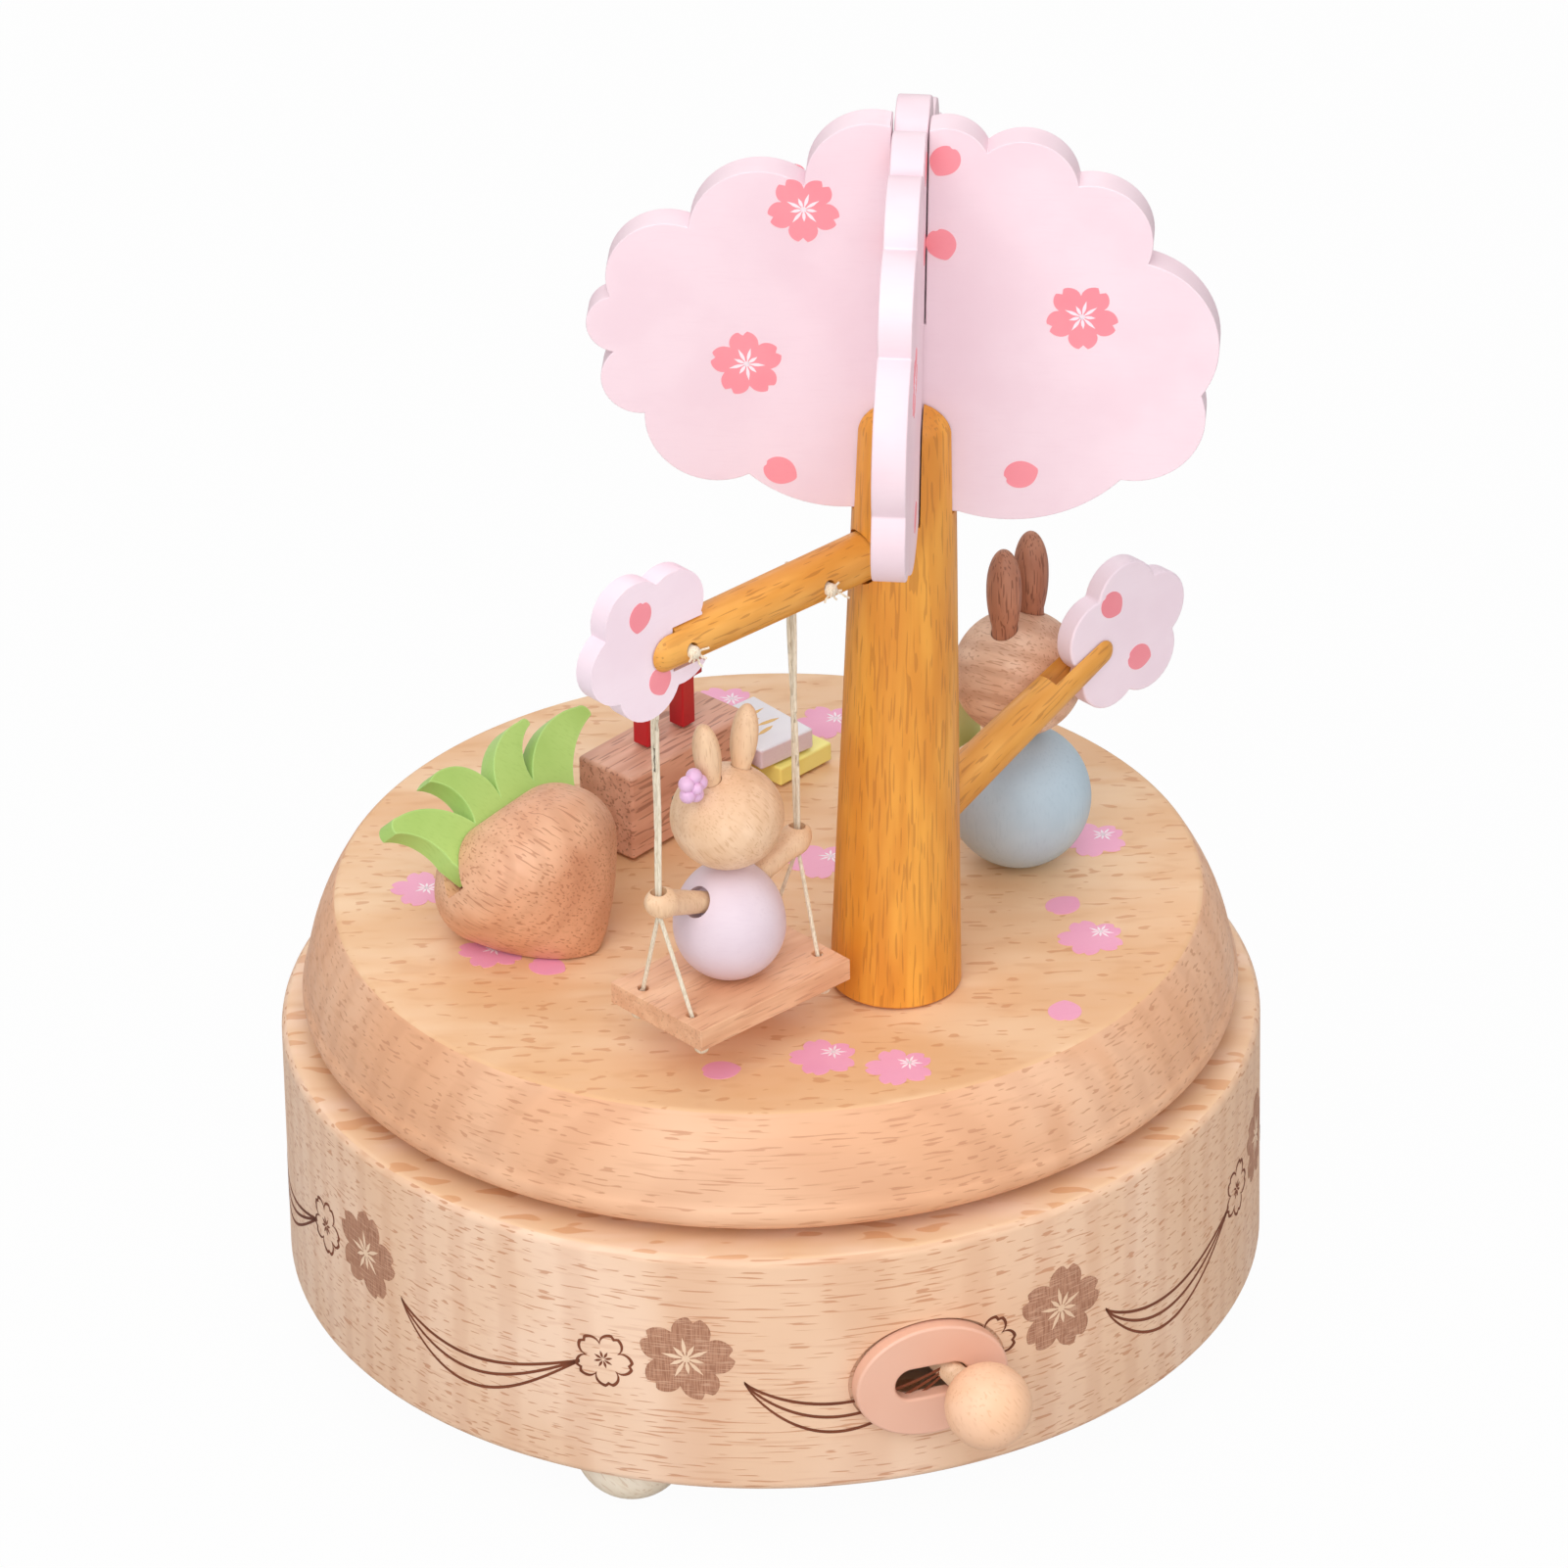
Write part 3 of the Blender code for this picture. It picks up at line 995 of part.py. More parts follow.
def right_branch(trunk, root):
    way = Vector((-BRANCH_OUT.x, -BRANCH_OUT.y, math.tan(RIGHT_BRANCH_RISE)))
    start = RIGHT_BRANCH_HEIGHT - RIGHT_BRANCH_REACH * math.tan(RIGHT_BRANCH_RISE)
    reach = RIGHT_BRANCH_REACH / math.cos(RIGHT_BRANCH_RISE)
    spot = (RIGHT_BLOSSOM_REACH, RIGHT_BRANCH_HEIGHT - start + RIGHT_BLOSSOM_LIFT)
    piece, flower, socket = branch(
        "right", root, (0.0, 0.0, start), reach, RIGHT_BRANCH_TIP_RADIUS, way, spot, RIGHT_BLOSSOM_RADIUS,
        math.radians(20.0), RIGHT_BLOSSOM_SLOT)
    cut(trunk, socket)


def swing():
    """The seat on two strings that hang from the left branch, with the small rabbit on it."""
    back = Vector((BRANCH_OUT.y, -BRANCH_OUT.x))
    middle = (STRING_OUTER_REACH + STRING_INNER_REACH) / 2.0
    half = (STRING_OUTER_REACH - STRING_INNER_REACH) / 2.0
    spot = TREE_PLACE + BRANCH_OUT * middle + back * STRING_OFFSET
    axis = pivot("swing_axis", at(spot.x, spot.y, DECK + LEFT_BRANCH_HEIGHT) @ turn(BRANCH_ANGLE), turntable)
    seat_top = -SEAT_DROP
    seat = block("swing_seat", (SEAT_LENGTH, SEAT_WIDTH, SEAT_THICKNESS), BROWN_WOOD, axis,
                 at(0.0, 0.0, seat_top - SEAT_THICKNESS / 2.0), 0.0004)
    for number, side in ((1, -1.0), (2, 1.0)):
        top = Vector((side * half, 0.0, STRING_TOP))
        hand = Vector((side * HAND_X, 0.0, -HAND_DROP))
        below = hand + (hand - top).normalized() * (ARM_RADIUS + 2.0 * GAP)
        string = tube("swing_string_%d" % number, top, below, STRING_RADIUS, 8, COTTON, axis)
        for leg, end in ((1, -1.0), (2, 1.0)):
            hole_spot = Vector((side * SEAT_HOLE_X, end * SEAT_HOLE_Y, seat_top - SEAT_THICKNESS))
            way = (below - hole_spot).normalized()
            split = below + way * STRING_RADIUS * (0.3 + 0.2 * leg)
            knot_spot = hole_spot - way * (GAP + SEAT_KNOT_RADIUS)
            strand = tube("strand_guide_%d_%d" % (number, leg), split, knot_spot, STRAND_RADIUS, 6,
                          COTTON, axis)
            knot = turned("seat_knot_guide_%d_%d" % (number, leg),
                          egg(SEAT_KNOT_RADIUS, SEAT_KNOT_RADIUS + TINY, SEAT_KNOT_RADIUS,
                              SEAT_KNOT_RADIUS, 4), 8, COTTON, axis, Matrix.Translation(knot_spot))
            join(string, strand, knot)
            hole = rod("cut_seat_hole_%d_%d" % (number, leg), STRAND_RADIUS + SLOT_GAP, -0.003, 0.006, 8,
                       BROWN_WOOD, axis, Matrix.Translation(hole_spot) @ along(way))
            cut(seat, hole)
    small_rabbit(axis, seat_top)


def small_rabbit(axis, seat_top):
    """Turned body and head, two ear pegs, two arms with holes for the strings, and a flower."""
    waist = seat_top + GAP + SMALL_BODY_FLOOR
    body = turned("small_rabbit_body", egg(SMALL_BODY_RADIUS, SMALL_BODY_RADIUS, SMALL_BODY_ABOVE,
                                           SMALL_BODY_FLOOR, 7), 18, LILAC_PAINT, axis,
                  at(0.0, 0.0, waist))
    head_height = waist + SMALL_BODY_ABOVE + GAP + SMALL_HEAD_HALF_HEIGHT
    head = turned("small_rabbit_head", egg(SMALL_HEAD_RADIUS, SMALL_HEAD_HALF_HEIGHT + TINY,
                                           SMALL_HEAD_HALF_HEIGHT, SMALL_HEAD_HALF_HEIGHT, 8), 18,
                  PALE_WOOD, axis, at(0.0, 0.0, head_height))
    for side, sign in (("left", -1.0), ("right", 1.0)):
        lean = Matrix.Rotation(sign * math.radians(9.0), 4, 'Y')
        root = at(sign * SMALL_EAR_SPREAD, 0.0, head_height + SMALL_HEAD_HALF_HEIGHT - EAR_DEPTH) @ lean
        ear_piece("small_rabbit_ear_" + side, SMALL_EAR_RADIUS, SMALL_EAR_LENGTH + EAR_DEPTH, PALE_WOOD,
                  axis, root, head)
    hand = -HAND_DROP
    arm_start = 0.55 * SMALL_BODY_RADIUS
    for side, sign in (("left", -1.0), ("right", 1.0)):
        shoulder = Vector((sign * arm_start, 0.0, waist + 0.55 * SMALL_BODY_ABOVE))
        tip = Vector((sign * ARM_REACH, 0.0, hand))
        way = tip - shoulder
        place = Matrix.Translation(shoulder) @ along(way)
        arm = turned("small_rabbit_arm_" + side,
                     [(0.0, 0.0), (ARM_RADIUS * 0.8, 0.0), (ARM_RADIUS, way.length * 0.6),
                      (ARM_RADIUS * 0.9, way.length - ARM_RADIUS * 0.5), (0.0, way.length)],
                     10, PALE_WOOD, axis, place)
        half = (STRING_OUTER_REACH - STRING_INNER_REACH) / 2.0
        line = Vector((sign * (HAND_X - half), 0.0, -HAND_DROP - STRING_TOP))
        hole = rod("cut_hand_" + side, STRING_RADIUS + GAP, -0.004, 0.004, 10, PALE_WOOD, axis,
                   at(sign * HAND_X, 0.0, hand) @ along(line))
        cut(arm, hole)
        socket = rod("cut_shoulder_" + side, ARM_RADIUS + GAP, -GAP, way.length, 10, LILAC_PAINT, axis,
                     place)
        cut(body, socket)
    flower_spot = at(-(SMALL_EAR_SPREAD + SMALL_EAR_RADIUS + 0.0030), -0.0010,
                     head_height + SMALL_HEAD_HALF_HEIGHT + 0.0008)
    board("hair_flower", blossom(HAIR_FLOWER_RADIUS, 0.3, 4), HAIR_FLOWER_THICKNESS, LILAC_PAINT, axis,
          flower_spot @ standing(0.0))


def ear_piece(name, radius, length, finish, parent, place, head):
    """A round-topped ear on a slimmer peg, in a drilled hole of the head."""
    root = 0.72 * radius
    profile = [(0.0, 0.0), (root, 0.0), (root, EAR_DEPTH), (radius, 0.6 * length)]
    for step in range(1, 4):
        angle = math.pi / 2.0 * step / 4.0
        profile.append((radius * math.cos(angle), length - radius * 1.1 + 1.1 * radius * math.sin(angle)))
    profile.append((0.0, length))
    turned(name, profile, 10, finish, parent, place)
    hole = rod("cut_" + name, root + GAP, -GAP, length, 10, finish, parent, place)
    cut(head, hole)


def big_rabbit():
    """The standing rabbit behind the tree, with a card at its chest."""
    facing = Vector((math.cos(BIG_FACING), math.sin(BIG_FACING)))
    middle = DECK + GAP + BIG_BODY_FLOOR
    root = at(BIG_PLACE.x, BIG_PLACE.y, 0.0)
    turned("big_rabbit_body", egg(BIG_BODY_RADIUS, BIG_BODY_RADIUS, BIG_BODY_ABOVE, BIG_BODY_FLOOR, 7),
           20, BLUE_PAINT, turntable, root @ at(0.0, 0.0, middle))
    head_height = middle + BIG_BODY_ABOVE + GAP + BIG_HEAD_HALF_HEIGHT
    head = turned("big_rabbit_head", egg(BIG_HEAD_RADIUS, BIG_HEAD_HALF_HEIGHT + TINY,
                                         BIG_HEAD_HALF_HEIGHT, BIG_HEAD_HALF_HEIGHT, 8), 20, PALE_WOOD,
                  turntable, root @ at(0.0, 0.0, head_height))
    for side, sign in (("left", 1.0), ("right", -1.0)):
        ear_root = head_height + BIG_HEAD_HALF_HEIGHT - EAR_DEPTH
        spot = turn(BIG_FACING) @ at(0.0, sign * BIG_EAR_SPREAD, ear_root)
        ear_piece("big_rabbit_ear_" + side, BIG_EAR_RADIUS, BIG_EAR_LENGTH + EAR_DEPTH, DARK_DOWEL,
                  turntable, root @ spot, head)
    low = DECK + CARD_LIFT - CARD_HEIGHT / 2.0 - middle
    chest = BIG_BODY_RADIUS * math.sqrt(1.0 - (low / BIG_BODY_ABOVE) ** 2) + GAP
    spot = BIG_PLACE + facing * (chest + CARD_THICKNESS / 2.0)
    block("chest_card", (CARD_WIDTH, CARD_THICKNESS, CARD_HEIGHT), YELLOW_PAINT, turntable,
          at(spot.x, spot.y, DECK + CARD_LIFT) @ turn(BIG_FACING + math.pi / 2.0), 0.0003)


def turnip():
    """A turned turnip lying on its point, with a board of four leaves in its crown.

    The leaves' outline is in millimetres on a turnip of 11.5 mm radius.
    """
    normal = TURNIP_ACROSS.normalized().cross(TURNIP_CROWN).normalized()
    across = TURNIP_CROWN.cross(normal)
    frame = Matrix((across, TURNIP_CROWN, normal)).transposed().to_4x4()
    centre = at(TURNIP_PLACE.x, TURNIP_PLACE.y, DECK + TURNIP_LIFT)
    scale = TURNIP_RADIUS
    profile = [(0.0, -1.17 * scale), (0.12 * scale, -1.14 * scale), (0.30 * scale, -1.02 * scale)]
    profile += bow(profile[-1], (0.93 * scale, -0.30 * scale), 0.03 * scale, 3)
    profile += bow((0.93 * scale, -0.30 * scale), (0.88 * scale, 0.44 * scale), 0.14 * scale, 4)
    profile += bow((0.88 * scale, 0.44 * scale), (0.40 * scale, 0.66 * scale), 0.07 * scale, 2)
    profile += [(0.0, 0.67 * scale)]
    body = turned("turnip", profile, 22, BROWN_WOOD, turntable, centre @ along(TURNIP_CROWN))
    ground = block("cut_turnip_floor", (5.0 * scale, 5.0 * scale, 2.0 * scale), BROWN_WOOD, turntable,
                   at(TURNIP_PLACE.x, TURNIP_PLACE.y, DECK + GAP - scale))
    groove_size = (2.4 * scale, 2.0 * scale, LEAF_THICKNESS + 2.0 * SLOT_GAP)
    groove = block("cut_leaf_slot", groove_size, BROWN_WOOD, turntable,
                   centre @ frame @ at(0.0, LEAF_ROOT - GAP + scale, 0.0))
    cut(body, ground, groove)
    arcs = [(10.8, 0.0, 0.0), (12.5, 2.8, 0.0), (20.9, 8.4, -1.0), (19.8, 10.2, 0.6), (7.3, 5.8, 2.2),
            (12.0, 11.6, -1.3), (11.0, 12.6, 0.5), (1.6, 6.4, 2.2), (-3.0, 12.9, 1.6), (-6.4, 12.6, 0.3),
            (-4.1, 5.4, -1.6), (-14.5, 11.0, 1.5), (-16.6, 9.3, 0.7), (-10.6, 3.0, -1.2), (-9.4, 0.0, 0.0)]
    board("turnip_leaves", scalloped((-9.4, 0.0), arcs, 3, TURNIP_RADIUS / 11.5), LEAF_THICKNESS,
          LEAF_PAINT, turntable, centre @ frame @ at(0.0, LEAF_ROOT, 0.0))


def block_and_gate():
    """A plain block with a small red gate on it."""
    place = at(BLOCK_PLACE.x, BLOCK_PLACE.y, DECK + GAP) @ turn(BLOCK_ANGLE)
    block("wooden_block", BLOCK_SIZE, BROWN_WOOD, turntable, place @ at(0.0, 0.0, BLOCK_SIZE.z / 2.0),
          0.0005)
    inner = (GATE_SPAN - GATE_LEG) / 2.0
    outer = (GATE_SPAN + GATE_LEG) / 2.0
    beam_low = 0.60 * GATE_HEIGHT
    beam_high = beam_low + GATE_BEAM
    roof_low = GATE_HEIGHT - GATE_BEAM
    wide = outer + GATE_OVERHANG
    beam = outer + GATE_OVERHANG / 2.0
    half = [(inner, 0.0), (outer, 0.0), (outer, beam_low), (beam, beam_low), (beam, beam_high),
            (outer, beam_high), (outer, roof_low), (wide, roof_low + GATE_BEAM / 3.0),
            (wide + GATE_BEAM / 4.0, GATE_HEIGHT + GATE_BEAM / 3.0), (0.0, GATE_HEIGHT)]
    inside = [(-inner, 0.0), (-inner, beam_low), (inner, beam_low)]
    outline = half + [(-x, y) for x, y in reversed(half[:-1])] + inside[1:]
    gate = board("red_gate", outline, GATE_DEPTH, RED_PAINT, turntable,
                 place @ at(0.0, 0.0, BLOCK_SIZE.z + GAP) @ standing(0.0))
    opening = block("cut_gate_opening", (2.0 * inner, roof_low - beam_high, 2.0 * GATE_DEPTH), RED_PAINT,
                    turntable, place @ at(0.0, 0.0, BLOCK_SIZE.z + GAP) @ standing(0.0)
                    @ at(0.0, (roof_low + beam_high) / 2.0, 0.0))
    cut(gate, opening)


def tray_and_box():
    """A yellow tray with a small white box on it."""
    block("yellow_tray", TRAY_SIZE, YELLOW_PAINT, turntable,
          at(TRAY_PLACE.x, TRAY_PLACE.y, DECK + GAP + TRAY_SIZE.z / 2.0) @ turn(TRAY_ANGLE), 0.0003)
    block("white_box", PAPER_BOX_SIZE, WHITE_CARD, turntable,
          at(PAPER_BOX_PLACE.x, PAPER_BOX_PLACE.y, DECK + 2.0 * GAP + TRAY_SIZE.z + PAPER_BOX_SIZE.z / 2.0)
          @ turn(PAPER_BOX_ANGLE), 0.0003)


drum_piece = base_drum()
feet_and_cover(drum_piece)
lever_group()
movement_frame_pieces(drum_piece)
crown_wheel()
cylinder_group()
governor_group()
turntable_disc()
tree()
swing()
big_rabbit()
turnip()
block_and_gate()
tray_and_box()
bpy.context.view_layer.update()
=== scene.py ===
"""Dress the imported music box: fine woods, painted boards, prints, engraving and cotton strings.

It is laid out as an add-on, with one operator for each group of pieces and one for the stage.
Metres, +Z up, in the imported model's frame. A shade is written as its display colour, from 0 to 255.
"""
import json
import math
import random

import bmesh
import bpy
from bpy.props import FloatProperty, FloatVectorProperty, IntProperty, PointerProperty
from mathutils import Matrix, Vector


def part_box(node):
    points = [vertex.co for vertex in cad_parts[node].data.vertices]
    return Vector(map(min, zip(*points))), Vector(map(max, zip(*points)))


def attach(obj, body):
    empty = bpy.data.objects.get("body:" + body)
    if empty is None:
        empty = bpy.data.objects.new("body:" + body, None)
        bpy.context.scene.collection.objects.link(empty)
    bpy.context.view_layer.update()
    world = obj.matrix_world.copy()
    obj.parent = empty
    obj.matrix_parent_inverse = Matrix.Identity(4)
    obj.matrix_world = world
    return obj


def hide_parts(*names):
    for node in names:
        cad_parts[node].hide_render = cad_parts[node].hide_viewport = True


bl_info = {
    "name": "Music Box Dressing",
    "version": (1, 0, 0),
    "blender": (4, 5, 0),
    "location": "3D View > Sidebar > Music Box",
    "description": "Woods, prints and strings for a wind-up turntable music box",
    "category": "Object",
}

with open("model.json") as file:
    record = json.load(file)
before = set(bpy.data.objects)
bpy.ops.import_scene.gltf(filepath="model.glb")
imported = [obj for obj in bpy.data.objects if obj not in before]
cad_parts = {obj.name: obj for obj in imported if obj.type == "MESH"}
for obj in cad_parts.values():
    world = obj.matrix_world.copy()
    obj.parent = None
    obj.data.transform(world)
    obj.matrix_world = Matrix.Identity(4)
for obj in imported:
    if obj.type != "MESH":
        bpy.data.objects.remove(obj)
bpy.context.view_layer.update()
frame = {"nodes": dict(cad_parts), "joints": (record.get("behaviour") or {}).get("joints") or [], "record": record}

MM = 0.001
TINY = 1e-6
QUARTER = math.pi / 2.0
TURN = math.radians(-17.5)
SMOOTH_ANGLE = math.radians(35.0)
# How far glued pieces stand apart, and how thick the engraving and the stars on the prints are
GAP = 0.0003
FILM = 0.00002
# How far edges are rounded
FINE_EDGE = 0.0002
EDGE = 0.0003
PLATE_EDGE = 0.0004
BOARD_EDGE = 0.0005

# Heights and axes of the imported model
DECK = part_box("turntable_disc")[1].z
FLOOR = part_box("foot_1")[0].z
DRUM_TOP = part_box("base_drum")[1].z
TABLE_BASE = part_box("turntable_disc")[0].z
JOINTS = {joint["name"]: Vector(joint["pos_m"]) for joint in frame["joints"]}
DECK_FRAME = Matrix.Rotation(TURN, 4, 'Z') @ Matrix.Translation((0.0, 0.0, DECK))

# Drum, disc and lever
DRUM_RADIUS = 0.0600
DRUM_EDGE = 0.0012
CAVITY_RADIUS = 0.0390
MOUTH_RADIUS = 0.0432
DRUM_ROOF = 0.0070
COVER_RADIUS = 0.0429
COVER_THICKNESS = 0.0030
FOOT_RADIUS = 0.0071
FOOT_DEPTH = 0.0072
# Holes, by radius and depth or by radius alone
FOOT_HOLE = (0.0020, 0.005)
SCREW_SINK = (0.0017, 0.0014)
SCREW_HOLE = 0.0011
SHAFT_HOLE = 0.0031
LEVER_HOLE = 0.0017
TABLE_RADIUS = 0.0568
TABLE_TOP_RADIUS = 0.0531
TABLE_LIP = 0.0036
TABLE_ROUND = 0.0008
# The two steps of the hub's sink, by radius and depth
HUB_SINK = ((0.0093, 0.0030), (0.0048, 0.0089))
PLATE_WIDTH = 0.0191
PLATE_HEIGHT = 0.0149
PLATE_BACK = 0.0593
PLATE_THICKNESS = 0.0022
SLOT_WIDTH = 0.0092
SLOT_HEIGHT = 0.0041
LEVER_HEIGHT = 0.0145
LEVER_REST = math.radians(11.0)
KNOB_RADIUS = 0.00525
KNOB_REACH = 0.0236
# The lever's two openings behind its plate, each with its size and its middle
OPENINGS = (((0.016, 0.0145, 0.012), (0.0, -0.04325, 0.0135)),
            ((0.013, 0.0125, 0.010), (0.0, -0.05575, LEVER_HEIGHT)))

# Engraving, with each blossom's radius, turn and height, and places round the wall in degrees
REPEATS = 8
FIRST_BLOSSOM = -10.4
FILLED_BLOSSOM = (0.0060, math.radians(80.0), 0.0186)
OUTLINED_BLOSSOM = (0.0039, math.radians(65.0), 0.0170)
OUTLINED_BACK = 9.8
SWAG = (6.6, 32.3)
SWAG_TOP = 0.0156
SWAG_DEPTH = 0.0036
SWAG_SPREAD = 0.0030

# Prints, by radius
TABLE_BLOSSOM = 0.0042
TABLE_STAR = 0.0032
TABLE_PETAL = 0.0023
BOARD_BLOSSOM = 0.0043
BOARD_PETAL = 0.0020
SMALL_PETAL = 0.0019

# Tree
TREE_PLACE = Vector((0.0151, -0.0227, 0.0))
TREE_LEAN = math.radians(1.6)
TRUNK_HEIGHT = 0.0802
TRUNK_BASE_RADIUS = 0.0079
TRUNK_TOP_RADIUS = 0.0059
CANOPY_ANGLE = math.radians(-4.5)
CANOPY_THICKNESS = 0.0040
CANOPY_BASE = 0.0653
CANOPY_MIDDLE = 0.0900
BRANCH_ANGLE = math.radians(42.0)
BRANCH_ROOT_RADIUS = 0.0030
BRANCH_DEPTH = 0.0020
ROOT_HOLE = 0.0033
STRING_HOLE = 0.00085
LEFT_BRANCH_HEIGHT = 0.0597
LEFT_BRANCH_LENGTH = 0.0392
# The two knots in the left branch, with their places along it
ANCHORS = ((1, 0.0338), (2, 0.0123))
RIGHT_BRANCH_RISE = math.radians(22.7)
RIGHT_BRANCH_REACH = 0.0354
RIGHT_BRANCH_HEIGHT = 0.0332
BLOSSOM_THICKNESS = 0.0026
SLOT_GAP = 0.0002
TREE = DECK_FRAME @ Matrix.Translation(TREE_PLACE)
LEANING = TREE @ Matrix.Rotation(TREE_LEAN, 4, 'Y')
BRANCH_WAY = Vector((math.cos(BRANCH_ANGLE), math.sin(BRANCH_ANGLE), 0.0))
RISE = math.tan(RIGHT_BRANCH_RISE)
RIGHT_BRANCH_START = RIGHT_BRANCH_HEIGHT - RIGHT_BRANCH_REACH * RISE
# A branch's side, height at the trunk's axis, length, tip radius and direction; its blossom board's
# place along it and over its start, radius and first petal in degrees; its slot's depth and its holes
BRANCHES = (
    ("left", LEFT_BRANCH_HEIGHT, LEFT_BRANCH_LENGTH, 0.0028, -BRANCH_WAY, (0.0386, 0.0018), 0.0097, 60.0,
     0.0040, [reach for _, reach in ANCHORS]),
    ("right", RIGHT_BRANCH_START, RIGHT_BRANCH_REACH / math.cos(RIGHT_BRANCH_RISE), 0.0022,
     BRANCH_WAY + Vector((0.0, 0.0, RISE)), (0.0378, RIGHT_BRANCH_HEIGHT - RIGHT_BRANCH_START), 0.0098,
     20.0, 0.0100, ()),
)

# Swing, in a frame on its pivot with X along the branch
SWING_FRAME = Matrix.Translation(JOINTS["swing_pivot"]) @ Matrix.Rotation(TURN + BRANCH_ANGLE, 4, 'Z')
SEAT_DROP = 0.0507
SEAT_SIZE = Vector((0.0240, 0.0160, 0.0028))
SEAT_HOLE = Vector((0.0099, 0.0052))
HAND_X = 0.0111
HAND_DROP = 0.0360
STRING_HALF = 0.01075
THREAD_APART = 0.0005
THREAD_RADIUS = 0.00026
# The string starts this far over the pivot, parts this far below the hand, and is knotted below the seat
STRING_TOP = 0.0004
PARTING = 0.0022
LEG_HOLE = 0.00065
KNOT_DROP = 0.0012
KNOT_RADIUS = 0.0009
ANCHOR_THREAD = 0.00075
ANCHOR_KNOT = 0.00082

# Rabbits; an egg is its radius, its depth below, its height above and where it is cut flat
BIG_PLACE = Vector((0.0308, 0.0053, 0.0))
BIG_FACING = math.radians(143.0)
BIG_BODY = (0.0088, 0.0088, 0.0092, 0.0085)
BIG_HEAD = (0.0080, 0.007801, 0.0078, 0.0078)
SMALL_BODY = (0.00675, 0.00675, 0.0082, 0.0062)
SMALL_HEAD = (0.0068, 0.006301, 0.0063, 0.0063)
# An ear's radius and length, and its root's distances from the middle and over the head's middle
BIG_EAR = (0.00215, 0.0126)
SMALL_EAR = (0.00165, 0.0098)
BIG_EAR_ROOT = (0.0028, 0.0056)
SMALL_EAR_ROOT = (0.0021, 0.0041)
EAR_PEG = 0.0022
# A shoulder's distances from the middle and over the waist; an arm's reach and two radii
SHOULDER = (0.0037, 0.0045)
ARM_REACH = 0.0130
ARM_RADII = (0.0013, 0.0016)
ARM_HOLE = 0.0019
EAR_FLOWER = (-0.0062, -0.0010, 0.0069)
CARD = (0.0064, 0.0016, 0.0085)

# Turnip
TURNIP_PLACE = Vector((-0.0290, -0.0095, 0.0087))
TURNIP_RADIUS = 0.0115
TURNIP_CROWN = Vector((-0.55, 0.414, 0.72)).normalized()
TURNIP_ACROSS = Vector((0.65, 0.76, 0.0)).normalized()
LEAF_THICKNESS = 0.0030
LEAF_ROOT = 0.0026

# Block, tray and box, each with its place on the deck and its size
BLOCK = (Vector((-0.0124, 0.0170)), math.radians(47.6), Vector((0.0218, 0.0090, 0.0115)))
TRAY = (Vector((0.0002, 0.0314)), math.radians(45.0), Vector((0.0091, 0.0135, 0.0025)))
PAPER_BOX = (Vector((-0.0010, 0.0297)), math.radians(40.3), Vector((0.0085, 0.0113, 0.0027)))
# The gate's posts from the middle, inside and outside, its height, its beams' and its own thickness
GATE = (0.00215, 0.00435, 0.0105, 0.0018, 0.0024)
# Each mark on the box: place, length and turn
MARKS = ((0.0010, 0.0022, 0.0042, 0.1), (-0.0008, 0.0008, 0.0036, 0.0),
         (0.0012, -0.0006, 0.0034, -0.1), (-0.0004, -0.0020, 0.0030, 0.2))

# Stage, with each lamp's place, power and width
LAMPS = {
    "key_light": ((-0.45, -0.75, 0.75), 9.6, 1.1),
    "fill_light": ((0.45, -0.75, 0.45), 1.6, 0.8),
    "back_light": ((0.1, 0.8, 0.7), 2.0, 0.8),
    "top_light": ((0.0, -0.05, 1.15), 2.4, 0.8),
}
LAMP_AIM = Vector((0.0, 0.0, 0.06))
FLOOR_SIZE = 3.0
FLOOR_GREY = 0.60
FLOOR_GLOW = 0.97
WORLD_STRENGTH = 0.35
WHITE = (1.0, 1.0, 1.0, 1.0)
LENS = 266.92
CAMERA_RIGHT = Vector((0.99981, -0.00967, -0.01678))
CAMERA_UP = Vector((0.01937, 0.49922, 0.86624))
CAMERA_AHEAD = Vector((0.0, 0.8664, -0.4993))
CAMERA_SPOT = (1.633 * CAMERA_RIGHT + 26.442 * CAMERA_UP - 1425.9 * CAMERA_AHEAD) * MM


def at(x, y, z):
    return Matrix.Translation((x, y, z))


def up(height):
    return at(0.0, 0.0, height)


def turned(angle, axis='Z'):
    return Matrix.Rotation(angle, 4, axis)


def standing(angle):
    """Local X lies level at the angle, local Y points up, local Z is the face's normal."""
    return turned(angle) @ turned(QUARTER, 'X')


def along(direction):
    """Local Z points along a direction."""
    return Vector(direction).to_track_quat('Z', 'Y').to_matrix().to_4x4()


def shade(red, green, blue):
    """The linear colour of a display colour."""
    def linear(value):
        value /= 255.0
        return value / 12.92 if value < 0.04045 else ((value + 0.055) / 1.055) ** 2.4
    return (linear(red), linear(green), linear(blue))


# Finishes


